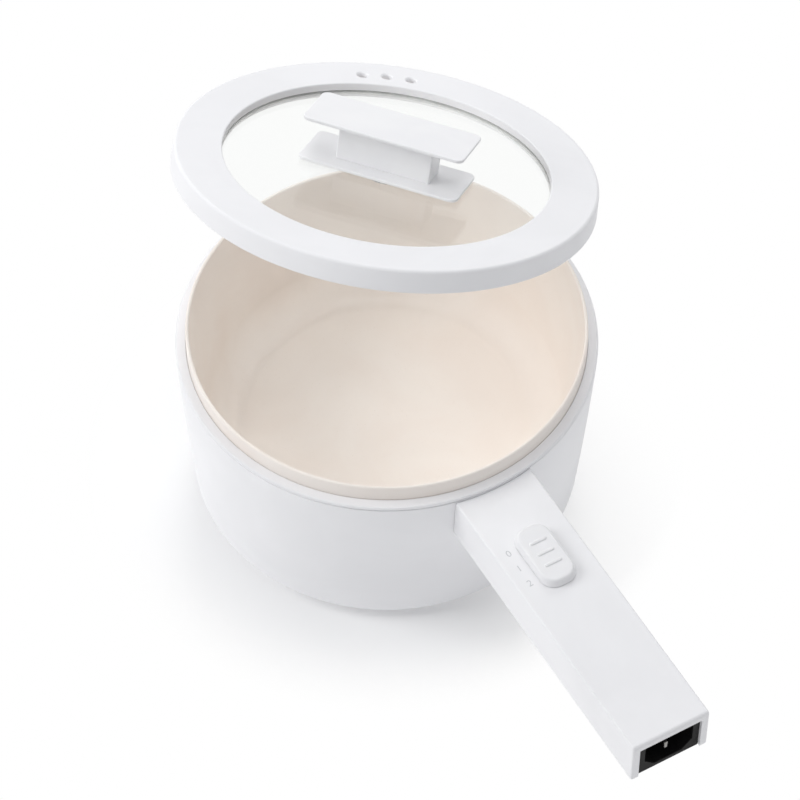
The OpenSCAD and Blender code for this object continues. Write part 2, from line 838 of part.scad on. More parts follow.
bottom_w = cavity_w - 2 * bottom_fit;
bottom_x = cavity_x + bottom_fit;

module handle_bottom() {
    color("white")
        difference() {
            translate([bottom_x, -bottom_w / 2, handle_under])
                cube([inlet_back - bottom_fit - bottom_x, bottom_w, bottom_t]);
            plate_screw_places()
                translate([0, 0, handle_under - cut])
                    cylinder(r = plate_screw_r + screw_fit, h = bottom_t + 2 * cut, $fn = small_faces);
            plate_screw_places()
                translate([0, 0, handle_under - cut])
                    cylinder(r = plate_head_r + screw_fit, h = plate_head_h + cut, $fn = small_faces);
        }
}

module bottom_plate_screws() {
    color("silver")
        plate_screw_places()
            union() {
                translate([0, 0, handle_under]) cylinder(r = plate_head_r, h = plate_head_h, $fn = small_faces);
                translate([0, 0, handle_under])
                    cylinder(r = plate_screw_r, h = plate_head_h + plate_screw_l, $fn = small_faces);
            }
}

// Bracket inside the shell that the handle screws pull against
bracket_low_z = handle_screw_z - bracket_h / 2;
bracket_out_r = shell_wall_r((bracket_low_z - shell_z(0)) / (shell_top - shell_z(0))) - shell_wall - collar_fit;
bracket_face_x = sqrt(pow(bracket_out_r, 2) - pow(bracket_w / 2, 2)) - bracket_t;

module handle_bracket() {
    color("silver")
        difference() {
            intersection() {
                ring(bracket_out_r, bracket_out_r - bracket_t, bracket_low_z, bracket_h);
                slab(2 * bracket_t + 2 * (bracket_out_r - bracket_face_x), bracket_w, bracket_h,
                    bracket_out_r, 0, bracket_low_z);
            }
            handle_bores(handle_screw_r + screw_fit);
            slab(6 * bracket_t, passage_w, bracket_h / 2 + passage_h / 2 + cut, bracket_out_r, 0,
                bracket_low_z - cut);
        }
}

head_x = sqrt(pow(bracket_out_r - bracket_t, 2) - pow(handle_screw_gap / 2 + handle_head_r, 2)) - screw_fit;

module handle_screws() {
    color("silver")
        for (side = [-1, 1])
            translate([head_x - handle_head_h, side * handle_screw_gap / 2, handle_screw_z])
                rotate([0, 90, 0])
                    union() {
                        cylinder(r = handle_head_r, h = handle_head_h, $fn = small_faces);
                        cylinder(r = handle_screw_r, h = handle_head_h + handle_screw_l, $fn = small_faces);
                    }
}

// Mains inlet: flange, body and a socket with two cut corners
socket_z = window_z + inlet_h / 2;
pin_line_z = socket_z + earth_offset / 2;

module socket_outline() {
    polygon([[-socket_w / 2, socket_h / 2], [-socket_w / 2, socket_cut - socket_h / 2],
        [socket_cut - socket_w / 2, -socket_h / 2], [socket_w / 2 - socket_cut, -socket_h / 2],
        [socket_w / 2, socket_cut - socket_h / 2], [socket_w / 2, socket_h / 2]]);
}

module pin_places() {
    translate([0, -pin_pitch / 2, pin_line_z]) children();
    translate([0, pin_pitch / 2, pin_line_z]) children();
    translate([0, 0, pin_line_z - earth_offset]) children();
}

module inlet_housing() {
    color("black")
        difference() {
            union() {
                slab(inlet_flange_t, inlet_w, window_z + inlet_h - handle_under, inlet_face - inlet_flange_t / 2, 0,
                    handle_under);
                slab(inlet_body_l, inlet_body_w, inlet_h, inlet_back - inlet_body_l / 2, 0, window_z);
            }
            translate([inlet_face - socket_d, 0, socket_z])
                rotate([90, 0, 90]) linear_extrude(height = socket_d + cut) socket_outline();
            pin_places()
                slab(2 * (inlet_body_l + inlet_flange_t) + 2 * cut, pin_w, pin_h, inlet_face - inlet_body_l,
                    0, -pin_h / 2);
        }
}

module inlet_pins() {
    color("silver")
        union() {
            pin_places()
                union() {
                    translate([inlet_back - inlet_body_l, -pin_w / 2, -pin_h / 2])
                        cube([inlet_body_l + inlet_flange_t - pin_inset, pin_w, pin_h]);
                    translate([inlet_back - inlet_body_l - tab_l, -tab_t / 2, -pin_h / 2])
                        cube([tab_l + cut, tab_t, pin_h]);
                }
            translate([inlet_back - inlet_body_l, -pin_w / 2, pin_line_z - earth_offset - pin_h / 2])
                cube([inlet_body_l + inlet_flange_t - pin_inset + earth_lead, pin_w, pin_h]);
        }
}

// Switch inside the handle
contact_z = switch_z + switch_wall;
contact_w = switch_w - 2 * switch_wall - 2 * screw_fit;
wiper_z = contact_z + contact_t + wiper_gap;

module switch_housing() {
    color("dimgray")
        difference() {
            union() {
                slab(slot_l + 2 * switch_wall + stem_l, switch_w, switch_h, button_x, 0, switch_z);
                slab(switch_ear_l, switch_ear_w, switch_ear_t, button_x, 0, ear_z);
            }
            slab(slot_l + stem_l, switch_w - 2 * switch_wall, switch_h, button_x, 0, contact_z);
            switch_screw_places()
                translate([0, 0, ear_z - cut])
                    cylinder(r = plate_screw_r + screw_fit, h = switch_ear_t + 2 * cut, $fn = small_faces);
        }
}

module switch_contacts() {
    color("goldenrod")
        for (i = [-1 : 1])
            slab(contact_l, contact_w, contact_t, button_x + i * switch_travel, 0, contact_z);
}

switch_screw_l = 2 * switch_ear_t + screw_fit;

module switch_screws() {
    color("silver")
        switch_screw_places()
            union() {
                translate([0, 0, ear_z - plate_head_h])
                    cylinder(r = plate_head_r, h = plate_head_h, $fn = small_faces);
                translate([0, 0, ear_z - plate_head_h])
                    cylinder(r = plate_screw_r, h = plate_head_h + switch_screw_l, $fn = small_faces);
            }
}

// Leads: round cords through a list of points, with every corner rounded
function unit(v) = v / norm(v);
function rounded_route(p, k) = concat(
    [p[0]],
    [for (i = [1 : len(p) - 2])
        let (a = unit(p[i - 1] - p[i]), b = unit(p[i + 1] - p[i]))
            for (j = [0 : bend_steps])
                let (t = j / bend_steps) p[i] + k * ((1 - t) * (1 - t) * a + t * t * b)],
    [p[len(p) - 1]]);
function heading(p, i) =
    unit((i < len(p) - 1 ? unit(p[i + 1] - p[i]) : [0, 0, 0]) + (i > 0 ? unit(p[i] - p[i - 1]) : [0, 0, 0]));

module lead(points) {
    path = rounded_route(points, lead_bend);
    rings = len(path);
    polyhedron(
        points = [for (i = [0 : rings - 1])
            let (t = heading(path, i), v = unit([0, 1, 0] - t[1] * t), u = cross(v, t))
                for (j = [0 : lead_sides - 1])
                    let (a = 360 * j / lead_sides) path[i] + lead_r * (cos(a) * u + sin(a) * v)],
        faces = concat(
            [[for (j = [0 : lead_sides - 1]) j]],
            [for (i = [0 : rings - 2])
                for (j = [0 : lead_sides - 1])
                    let (k = (j + 1) % lead_sides, a = i * lead_sides, b = a + lead_sides)
                        each [[a + j, b + j, b + k], [a + j, b + k, a + k]]],
            [[for (j = [0 : lead_sides - 1]) rings * lead_sides - 1 - j]]));
}

lead_sides = 8;
bend_steps = 3;
lead_bend = 2 * lead_r;
tab_x = inlet_back - inlet_body_l - tab_l - lead_fit;
lead_low_z = (boss_foot + switch_z) / 2;
lead_drop_x = pot_r_at(handle_screw_z) + pot_wall + 2 * lead_r;
lead_foot_z = shield_top - shield_t - nut_h;
lead_y = plate_screw_y - handle_boss_r - 2 * lead_r;
root_x = cavity_x + 2 * lead_r;
end_x = tab_x - 3 * lead_r;

module live_lead() {
    color("saddlebrown")
        lead([[tab_x, pin_pitch / 2, pin_line_z], [end_x, pin_pitch / 2, pin_line_z],
            [end_x - 4 * lead_r, lead_pitch, lead_low_z], [button_x + switch_travel, lead_pitch, lead_low_z],
            [button_x + switch_travel, lead_pitch, switch_z - lead_fit]]);
}

module switched_lead() {
    color("black")
        lead([[button_x - switch_travel, lead_pitch, switch_z - lead_fit],
            [button_x - switch_travel, lead_pitch, lead_low_z], [root_x + 4 * lead_r, lead_pitch, lead_low_z],
            [root_x, lead_pitch, handle_screw_z], [lead_drop_x, lead_pitch, handle_screw_z],
            [lead_drop_x - 3 * lead_r, lead_pitch, lead_foot_z],
            [tube_ring_r, tube_ring_r * sin(tube_start), lead_foot_z]]);
}

module neutral_lead() {
    color("steelblue")
        lead([[tab_x, -pin_pitch / 2, pin_line_z], [end_x, -pin_pitch / 2, pin_line_z],
            [end_x - 4 * lead_r, -lead_pitch, lead_low_z], [root_x + 4 * lead_r, -lead_pitch, lead_low_z],
            [root_x, -lead_pitch, handle_screw_z], [lead_drop_x, -lead_pitch, handle_screw_z],
            [lead_drop_x - 3 * lead_r, -lead_pitch, lead_foot_z],
            [tube_ring_r, -tube_ring_r * sin(tube_start), lead_foot_z]]);
}

module earth_lead() {
    color("yellowgreen")
        lead([[tab_x, 0, pin_line_z - earth_offset], [end_x, 0, pin_line_z - earth_offset],
            [end_x - 4 * lead_r, 0, lead_low_z], [root_x + 4 * lead_r, 0, lead_low_z],
            [root_x, 0, handle_screw_z], [lead_drop_x, 0, handle_screw_z],
            [lead_drop_x - 3 * lead_r, 0, shield_top + lead_r],
            [shield_r + 2 * lead_r, 0, shield_top + lead_r]]);
}

// Slider
button_z = handle_top + button_fit;
stem_foot = wiper_z + wiper_t;

module slider_button() {
    color("white")
        union() {
            translate([button_x, 0, button_z])
                hull() {
                    round_slab(button_l, button_w, button_bevel / 2, button_round, corner_steps);
                    translate([0, 0, button_h - button_bevel / 2])
                        round_slab(button_l - 2 * button_bevel, button_w - 2 * button_bevel,
                            button_bevel / 2, button_round - button_bevel, corner_steps);
                }
            slab(stem_l, stem_w, button_z + button_bevel / 2 - stem_foot, button_x, 0, stem_foot);
            for (i = [-1 : 1])
                translate([button_x + i * rib_pitch, 0, button_z + button_h / 2])
                    round_slab(rib_w, rib_l, button_h / 2 + rib_h, rib_w / 3, corner_steps);
        }
}

module slider_shutter() {
    color("white")
        difference() {
            slab(shutter_l, shutter_w, shutter_t, button_x, 0, shutter_z);
            slab(stem_l + 2 * screw_fit, stem_w + 2 * screw_fit, shutter_t + 2 * cut, button_x, 0, shutter_z - cut);
        }
}

module switch_wiper() {
    color("goldenrod")
        slab(stem_l, stem_w, wiper_t, button_x, 0, wiper_z);
}

// Lid, drawn seated and then raised about the turning line
seat_z = collar_top + seat_gap;
ring_top = seat_z + lid_h;
roof_z = ring_top - lid_top_t;
glass_edge_z = ring_top - glass_drop;
glass_under = glass_edge_z - glass_t;
gasket_z = glass_under - gasket_t;
retainer_z = gasket_z - retainer_t;
pocket_r = glass_r + glass_fit;
centring_r = mouth_r - centring_fit;
dome_r = (pow(window_r, 2) + pow(glass_rise, 2)) / (2 * glass_rise);
dome_angle = asin(window_r / dome_r);
line_point = [lid_reach * cos(lid_direction), lid_reach * sin(lid_direction), collar_top + lid_line_rise];
line_axis = [cos(lid_line_dip) * cos(lid_line_heading), cos(lid_line_dip) * sin(lid_line_heading),
    sin(lid_line_dip)];

module raised() {
    translate(line_point) rotate(a = lid_angle, v = line_axis) translate(-line_point) children();
}

function lid_outline() = concat(
    [[skirt_r, seat_z], [lid_r + lid_flare, seat_z], [lid_r, ring_top - lid_round]],
    arc(lid_r - lid_round, ring_top - lid_round, lid_round, 0, 90, corner_steps),
    arc(window_r + window_round, ring_top - window_round, window_round, 90, 180, corner_steps),
    [[window_r, glass_edge_z], [pocket_r, glass_edge_z], [pocket_r, retainer_z],
        [pocket_r + glass_wall, retainer_z], [pocket_r + glass_wall, roof_z],
        [centring_r - centring_wall, roof_z], [centring_r - centring_wall, retainer_z],
        [centring_r, retainer_z], [centring_r, roof_z], [skirt_r, roof_z]]);

module lid_ring() {
    color("white")
        raised()
            difference() {
                rotate_extrude() polygon(lid_outline());
                for (i = [-1 : 1])
                    rotate([0, 0, vent_heading + i * vent_step])
                        translate([vent_ring_r, 0, roof_z - cut])
                            cylinder(r = vent_r, h = lid_top_t + 2 * cut, $fn = small_faces);
            }
}

function dome_line(drop) = [for (i = [0 : wall_steps])
    let (a = dome_angle * (1 - i / wall_steps))
        [dome_r * sin(a), glass_edge_z + glass_rise - dome_r + dome_r * cos(a) - drop]];

module lid_glass() {
    color("lightcyan", 0.4)
        raised()
            difference() {
                rotate_extrude()
                    polygon(concat(
                        [[glass_r, glass_under], [glass_r, glass_edge_z]],
                        dome_line(0),
                        [for (i = [0 : wall_steps]) dome_line(glass_t)[wall_steps - i]]));
                translate([0, 0, glass_under - cut])
                    cylinder(r = glass_hole_r, h = glass_t + glass_rise + 2 * cut, $fn = small_faces);
            }
}

gasket_in_r = window_r + glass_fit;

module glass_gasket() {
    color("gainsboro")
        raised() ring(pocket_r - screw_fit, gasket_in_r, gasket_z, gasket_t);
}

module lid_retainer() {
    color("white")
        raised() ring(pocket_r - screw_fit, gasket_in_r, retainer_z, retainer_t);
}

glass_mid_top = glass_edge_z + glass_rise;
knob_base_z = glass_mid_top + knob_seal_t;
post_z = knob_base_z + knob_base_t;
cap_z = post_z + post_h;
seal_sag = dome_r - sqrt(pow(dome_r, 2) - pow(knob_seal_r, 2));
knob_lower_seal_z = glass_mid_top - glass_t - 2 * seal_sag - lower_seal_t;
washer_z = knob_lower_seal_z - washer_t;

module knob_hole(z, h) {
    translate([0, 0, z - cut])
        cylinder(r = knob_screw_r + screw_fit, h = h + 2 * cut, $fn = small_faces);
}

module knob_base() {
    color("white")
        raised()
            difference() {
                rotate([0, 0, knob_heading])
                    translate([0, 0, knob_base_z])
                        round_slab(knob_base_l, knob_base_w, knob_base_t, knob_round, corner_steps);
                knob_hole(knob_base_z, knob_base_t);
            }
}

module knob_post() {
    color("white")
        raised()
            difference() {
                rotate([0, 0, knob_heading])
                    translate([0, 0, post_z]) round_slab(post_l, post_w, post_h, post_round, corner_steps);
                knob_hole(post_z, knob_screw_reach - knob_base_t);
            }
}

module knob_cap() {
    color("white")
        raised()
            rotate([0, 0, knob_heading])
                translate([0, 0, cap_z]) round_slab(cap_l, cap_w, cap_t, knob_round, corner_steps);
}

module knob_upper_seal() {
    color("gainsboro")
        raised() ring(knob_seal_r, knob_screw_r + screw_fit, glass_mid_top, knob_seal_t);
}

module knob_lower_seal() {
    color("gainsboro")
        raised() ring(knob_seal_r, knob_screw_r + screw_fit, knob_lower_seal_z, lower_seal_t);
}

module knob_washer() {
    color("silver")
        raised() ring(washer_r, knob_screw_r + screw_fit, washer_z, washer_t);
}

module knob_screw() {
    color("silver")
        raised()
            union() {
                translate([0, 0, washer_z - knob_head_h])
                    cylinder(r = knob_head_r, h = knob_head_h, $fn = small_faces);
                translate([0, 0, washer_z - knob_head_h])
                    cylinder(r = knob_screw_r, h = knob_base_z + knob_screw_reach - washer_z + knob_head_h,
                        $fn = small_faces);
            }
}

outer_shell();
top_collar();
rim_seal();
inner_pot();
heater_plate();
heating_element();
terminal_insulators();
thermostat();
thermal_fuse();
pot_studs();
shield_spacers();
heat_shield();
shield_nuts();
base_cover();
base_screws();
rubber_feet();
handle_cover();
handle_bottom();
bottom_plate_screws();
handle_bracket();
handle_screws();
inlet_housing();
inlet_pins();
switch_housing();
switch_contacts();
switch_screws();
live_lead();
switched_lead();
neutral_lead();
earth_lead();
slider_button();
slider_shutter();
switch_wiper();
lid_ring();
lid_glass();
glass_gasket();
lid_retainer();
knob_base();
knob_post();
knob_cap();
knob_upper_seal();
knob_lower_seal();
knob_washer();
knob_screw();
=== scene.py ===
import bpy
import json
import math
from mathutils import Matrix, Vector


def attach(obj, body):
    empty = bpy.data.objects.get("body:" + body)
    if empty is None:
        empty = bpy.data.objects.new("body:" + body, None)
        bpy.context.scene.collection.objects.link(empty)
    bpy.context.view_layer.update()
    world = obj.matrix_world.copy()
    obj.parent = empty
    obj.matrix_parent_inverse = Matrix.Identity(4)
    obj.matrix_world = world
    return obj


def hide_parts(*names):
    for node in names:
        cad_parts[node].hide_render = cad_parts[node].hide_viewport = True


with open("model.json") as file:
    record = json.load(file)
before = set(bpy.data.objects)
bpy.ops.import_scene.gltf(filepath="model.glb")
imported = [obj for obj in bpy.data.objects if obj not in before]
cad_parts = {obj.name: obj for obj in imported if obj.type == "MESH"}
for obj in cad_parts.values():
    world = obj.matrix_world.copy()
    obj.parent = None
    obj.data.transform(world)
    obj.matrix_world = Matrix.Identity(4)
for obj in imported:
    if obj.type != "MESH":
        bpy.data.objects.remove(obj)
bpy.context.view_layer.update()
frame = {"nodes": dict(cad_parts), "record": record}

scene = bpy.context.scene
mm = 0.001  # metres in a millimetre
near = 0.001  # points this close, in millimetres, count as level
weld = 2e-6  # points this close, in metres, become one
past = 1.0  # a cutter runs this many millimetres past the face it opens
print("frame loaded:", len(frame["nodes"]), "nodes")

# camera, as the photograph was taken
cameraPlace = {"spot": (1.05837, -0.61806, 1.68861), "aim": (0.02734, -0.0087, 0.08684),
               "lens": 194.58, "sensor": 36.0, "roll": 0.546, "sight": 20.0}


def addCamera(spot, aim, lens, sensor, roll, sight):
    data = bpy.data.cameras.new("tableCamera")
    data.lens = lens
    data.sensor_width = sensor
    data.clip_end = sight
    camera = bpy.data.objects.new("tableCamera", data)
    scene.collection.objects.link(camera)
    ahead = (Vector(aim) - Vector(spot)).normalized()
    level = ahead.cross(Vector((0, 0, 1))).normalized()
    right = Matrix.Rotation(math.radians(-roll), 3, ahead) @ level  # a slightly crooked camera
    basis = Matrix((right, right.cross(ahead), -ahead)).transposed()
    camera.matrix_world = Matrix.Translation(spot) @ basis.to_4x4()
    scene.camera = camera


addCamera(**cameraPlace)
scene.view_settings.view_transform = "Standard"
print("camera set")

# small helpers for modelling; sizes and places are in millimetres


def editMode():
    bpy.ops.object.mode_set(mode="EDIT")


def objectMode():
    if bpy.context.mode != "OBJECT":
        bpy.ops.object.mode_set(mode="OBJECT")


def startClean():
    objectMode()
    bpy.ops.object.select_all(action="DESELECT")


def pickOnly(piece):
    startClean()
    piece.select_set(True)
    bpy.context.view_layer.objects.active = piece


def newest(name):
    piece = bpy.context.active_object
    piece.name = name
    piece.data.name = name
    return piece


def moved(x, y, z):
    return Matrix.Translation((x * mm, y * mm, z * mm))


def settle(piece, matrix=None):  # the place goes into the mesh
    if matrix is not None:
        piece.matrix_world = matrix
    pickOnly(piece)
    bpy.ops.object.transform_apply(location=True, rotation=True, scale=True)
    return piece


def startChoice(piece, kind):
    pickOnly(piece)
    editMode()
    bpy.ops.mesh.select_all(action="DESELECT")
    bpy.ops.mesh.select_mode(type=kind)
    objectMode()


def chooseTop(piece):
    startChoice(piece, "FACE")
    for face in piece.data.polygons:
        face.select = face.normal.z > 0.9
    editMode()


def resizeChosen(x, y, centre):
    bpy.ops.transform.resize(value=(x, y, 1), center_override=[c * mm for c in centre])
    objectMode()


def bevelEdges(piece, width, segments, wanted):
    # wanted is asked about the two ends of each edge
    startChoice(piece, "EDGE")
    points = [v.co / mm for v in piece.data.vertices]
    for edge in piece.data.edges:
        a, b = edge.vertices
        edge.select = bool(wanted(points[a], points[b]))
    editMode()
    bpy.ops.mesh.bevel(offset=width * mm, segments=segments, profile=0.5, affect="EDGES")
    objectMode()


def upright(a, b):
    return abs(a.z - b.z) > near


def lengthwise(a, b):
    return abs(a.x - b.x) > near


def above(height):
    return lambda a, b: min(a.z, b.z) > height - near


def below(height):
    return lambda a, b: max(a.z, b.z) < height + near


def applyAll(piece):
    pickOnly(piece)
    for modifier in list(piece.modifiers):
        bpy.ops.object.modifier_apply(modifier=modifier.name)


def combine(piece, other, how):
    pickOnly(piece)
    joiner = piece.modifiers.new("joiner", "BOOLEAN")
    joiner.operation = how
    joiner.solver = "EXACT"
    joiner.object = other
    applyAll(piece)
    bpy.data.objects.remove(other)
    return piece


def add(piece, other):
    return combine(piece, other, "UNION")


def cut(piece, other):
    return combine(piece, other, "DIFFERENCE")


def smoothFinish(piece, angle):
    pickOnly(piece)
    bpy.ops.object.shade_smooth_by_angle(angle=math.radians(angle))
    evener = piece.modifiers.new("evener", "WEIGHTED_NORMAL")
    evener.keep_sharp = True
    applyAll(piece)


def roundCorners(corners, steps):
    # each corner is (radius, height, rounding); a rounding of 0 keeps it sharp
    corners = [(Vector((r * mm, z * mm)), rounding * mm) for r, z, rounding in corners]
    line = []
    for i, (here, rounding) in enumerate(corners):
        if not rounding:
            line.append(here)
            continue
        before = corners[i - 1][0] - here
        after = corners[(i + 1) % len(corners)][0] - here
        a, b = before.normalized(), after.normalized()
        half = a.angle(b) / 2
        reach = min(rounding / math.tan(half), before.length * 0.49, after.length * 0.49)
        radius = reach * math.tan(half)
        middle = here + (a + b).normalized() * (radius / math.sin(half))
        start, end = here + a * reach - middle, here + b * reach - middle
        sweep = start.angle_signed(end)
        for k in range(steps + 1):
            turn = -sweep * k / steps
            line.append(middle + Vector((start.x * math.cos(turn) - start.y * math.sin(turn),
                                         start.x * math.sin(turn) + start.y * math.cos(turn))))
    return line


def arc(x, z, radius, first, last, steps):
    turns = [math.radians(first + (last - first) * i / steps) for i in range(steps + 1)]
    return [(x + radius * math.cos(a), z + radius * math.sin(a), 0) for a in turns]


def turnOnLathe(name, corners, steps=4, sides=192, closed=True):
    # a point is drawn out along the outline, and the outline is spun round the pot's axis
    line = roundCorners(corners, steps)
    startClean()
    bpy.ops.mesh.primitive_plane_add(size=mm, location=(line[0].x, 0, line[0].y))
    piece = newest(name)
    settle(piece)
    editMode()
    bpy.ops.mesh.select_mode(type="VERT")
    bpy.ops.mesh.select_all(action="SELECT")
    bpy.ops.mesh.merge(type="CENTER")
    for a, b in zip(line, line[1:]):
        bpy.ops.mesh.extrude_region_move(TRANSFORM_OT_translate={"value": (b.x - a.x, 0, b.y - a.y)})
    if closed:
        objectMode()
        ends = (0, len(piece.data.vertices) - 1)
        for v in piece.data.vertices:
            v.select = v.index in ends
        editMode()
        bpy.ops.mesh.select_mode(type="VERT")
        bpy.ops.mesh.edge_face_add()
    bpy.ops.mesh.select_all(action="SELECT")
    bpy.ops.mesh.spin(steps=sides, angle=2 * math.pi, center=(0, 0, 0), axis=(0, 0, 1))
    bpy.ops.mesh.select_all(action="SELECT")
    bpy.ops.mesh.remove_doubles(threshold=weld)
    bpy.ops.mesh.normals_make_consistent(inside=False)
    objectMode()
    return piece


def flatRing(name, inner, outer, low, top, edges, steps, sides=192):
    places = ((inner, low), (outer, low), (outer, top), (inner, top))
    return turnOnLathe(name, [(r, z, edge) for (r, z), edge in zip(places, edges)], steps, sides)


def about(middle, width):
    return middle - width / 2, middle + width / 2


def box(name, *spans):
    # along x, y and z, a span is (from, to) or a width that the axis halves
    startClean()
    pairs = [span if isinstance(span, tuple) else about(0, span) for span in spans]
    low, high = (Vector([c * mm for c in corner]) for corner in zip(*pairs))
    bpy.ops.mesh.primitive_cube_add(size=1, location=(low + high) / 2)
    piece = newest(name)
    piece.scale = high - low
    return settle(piece)


def rod(name, spot, radius, height, sides, along=(0, 0, 1)):
    startClean()
    bpy.ops.mesh.primitive_cylinder_add(vertices=sides, radius=radius * mm, depth=height * mm,
                                        location=(0, 0, 0))
    turn = Vector((0, 0, 1)).rotation_difference(Vector(along))
    return settle(newest(name), moved(*spot) @ turn.to_matrix().to_4x4())


def pillar(name, x, y, radius, low, high, sides):
    return rod(name, (x, y, (low + high) / 2), radius, high - low, sides)


def ringSpots(count, first, radius):
    turns = [math.radians(first + i * 360 / count) for i in range(count)]
    return [(radius * math.cos(a), radius * math.sin(a)) for a in turns]


def joinPieces(name, pieces):
    startClean()
    for piece in pieces:
        piece.select_set(True)
    bpy.context.view_layer.objects.active = pieces[0]
    bpy.ops.object.join()
    return newest(name)


def repeatAt(piece, name, matrices):
    copies = []
    for matrix in matrices:
        twin = piece.copy()
        twin.data = piece.data.copy()
        twin.name = name
        scene.collection.objects.link(twin)
        copies.append(settle(twin, matrix))
    bpy.data.objects.remove(piece)
    return joinPieces(name, copies)


# small helpers for nodes


def feed(tree, socket, value):
    if isinstance(value, bpy.types.NodeSocket):
        tree.links.new(value, socket)
    else:
        socket.default_value = value


def setUp(tree, node, *sockets, **settings):
    # settings first, then the plain values go to the node's first sockets in order
    for key, value in settings.items():
        if hasattr(node, key):
            setattr(node, key, value)
        else:
            feed(tree, node.inputs[key.replace("_", " ")], value)
    for socket, value in zip(node.inputs, sockets):
        feed(tree, socket, value)
    return node


def place(tree, kind, x, y, *sockets, **settings):
    node = tree.nodes.new(kind)
    node.location = (x, y)
    return setUp(tree, node, *sockets, **settings)


def mathNode(tree, how, x, y, *values):
    return place(tree, "ShaderNodeMath", x, y, *values, operation=how).outputs[0]


def mixShaders(tree, x, mask, first, second):
    return place(tree, "ShaderNodeMixShader", x, 0, mask, first, second).outputs[0]


def useGroup(tree, group, x, y, **values):
    return place(tree, "ShaderNodeGroup", x, y, node_tree=group, **values)


def newGroup(name, inputs, *outputs):
    group = bpy.data.node_groups.new(name, "ShaderNodeTree")
    for label, value in inputs.items():
        socket = group.interface.new_socket(name=label, in_out="INPUT", socket_type="NodeSocketFloat")
        socket.default_value = value
    for label in outputs:
        group.interface.new_socket(name=label, in_out="OUTPUT", socket_type="NodeSocketFloat")
    return group, place(group, "NodeGroupInput", -1100, 0).outputs


# node groups that several finishes share


def makeMouldGrain():
    # fine spark-eroded mould texture, with a slow waviness under it
    group, entry = newGroup("mouldGrain", {"Grain": 1500.0, "Wave": 45.0, "Wave Share": 0.35}, "Height")
    spot = place(group, "ShaderNodeTexCoord", -900, -220).outputs["Object"]
    fine = place(group, "ShaderNodeTexNoise", -600, 120, Vector=spot, Scale=entry["Grain"],
                 Detail=4.0, Roughness=0.6)
    slow = place(group, "ShaderNodeTexNoise", -600, -180, Vector=spot, Scale=entry["Wave"],
                 Detail=1.0, Roughness=0.4)
    wave = mathNode(group, "MULTIPLY", -300, -180, slow.outputs["Fac"], entry["Wave Share"])
    total = mathNode(group, "ADD", 0, 0, fine.outputs["Fac"], wave)
    place(group, "NodeGroupOutput", 500, 0, Height=total)
    return group


def makeHandling():
    # where hands and cloths have been: soft patches that change gloss a little
    group, entry = newGroup("handling", {"Size": 22.0, "Low": 0.3, "High": 0.4}, "Gloss", "Patch")
    spot = place(group, "ShaderNodeTexCoord", -900, -220).outputs["Object"]
    noise = place(group, "ShaderNodeTexNoise", -650, 0, Vector=spot, Scale=entry["Size"],
                  Detail=5.0, Roughness=0.55, Distortion=0.6)
    spread = place(group, "ShaderNodeMapRange", -350, 0, interpolation_type="SMOOTHSTEP",
                   Value=noise.outputs["Fac"], From_Min=0.32, From_Max=0.68)
    gloss = place(group, "ShaderNodeMapRange", 0, 80, Value=spread.outputs[0],
                  To_Min=entry["Low"], To_Max=entry["High"])
    place(group, "NodeGroupOutput", 500, 0, Gloss=gloss.outputs[0], Patch=spread.outputs[0])
    return group


def makeFlecks():
    # sparse tiny specks, as in a ceramic coat, rubber or fired ceramic
    group, entry = newGroup("flecks", {"Density": 420.0, "Limit": 0.13}, "Speck")
    spot = place(group, "ShaderNodeTexCoord", -900, -220).outputs["Object"]
    cells = place(group, "ShaderNodeTexVoronoi", -600, 0, feature="F1", Vector=spot, Scale=entry["Density"])
    close = mathNode(group, "LESS_THAN", -300, 0, cells.outputs["Distance"], entry["Limit"])
    pick = place(group, "ShaderNodeSeparateColor", -300, -220, cells.outputs["Color"])
    some = mathNode(group, "GREATER_THAN", -80, -220, pick.outputs[0], 0.72)  # a speck in few cells
    place(group, "NodeGroupOutput", 500, 0, Speck=mathNode(group, "MULTIPLY", 150, 0, close, some))
    return group


def makeTurnedLines():
    # circles left by turning or spinning on a lathe, round the pot's axis
    group, entry = newGroup("turnedLines", {"Pitch": 900.0, "Break": 60.0}, "Height")
    spot = place(group, "ShaderNodeTexCoord", -1100, -220).outputs["Object"]
    parts = place(group, "ShaderNodeSeparateXYZ", -900, 0, spot).outputs
    xx = mathNode(group, "MULTIPLY", -720, 120, parts["X"], parts["X"])
    yy = mathNode(group, "MULTIPLY", -720, -40, parts["Y"], parts["Y"])
    root = mathNode(group, "SQRT", -420, 60, mathNode(group, "ADD", -560, 60, xx, yy))
    both = place(group, "ShaderNodeCombineXYZ", -280, 60, X=root, Y=parts["Z"])
    lines = place(group, "ShaderNodeTexNoise", -80, 120, Vector=both.outputs[0], Scale=entry["Pitch"],
                  Detail=3.0, Roughness=0.7)
    patches = place(group, "ShaderNodeTexNoise", -80, -160, Vector=spot, Scale=entry["Break"], Detail=2.0)
    mixed = mathNode(group, "MULTIPLY", 220, 0, lines.outputs["Fac"], patches.outputs["Fac"])
    place(group, "NodeGroupOutput", 500, 0, Height=mixed)
    return group


reliefHeight = {"mould": 0.12, "turned": 0.08, "fleck": 0.1}
mouldGrain = makeMouldGrain()
handling = makeHandling()
flecks = makeFlecks()
turnedLines = makeTurnedLines()
print("shared node groups ready")


# finishes


def linear(value):
    value = value / 255
    return value / 12.92 if value <= 0.04045 else ((value + 0.055) / 1.055) ** 2.4


def tone(r, g, b):
    return (linear(r), linear(g), linear(b), 1.0)


def startFinish(name):
    finish = bpy.data.materials.new(name)
    finish.use_nodes = True
    tree = finish.node_tree
    return finish, tree, tree.nodes["Principled BSDF"]


def tint(tree, x, mask, light, dark):
    blend = place(tree, "ShaderNodeMix", x, 220, data_type="RGBA", Factor=mask, A=light, B=dark)
    return blend.outputs["Result"]


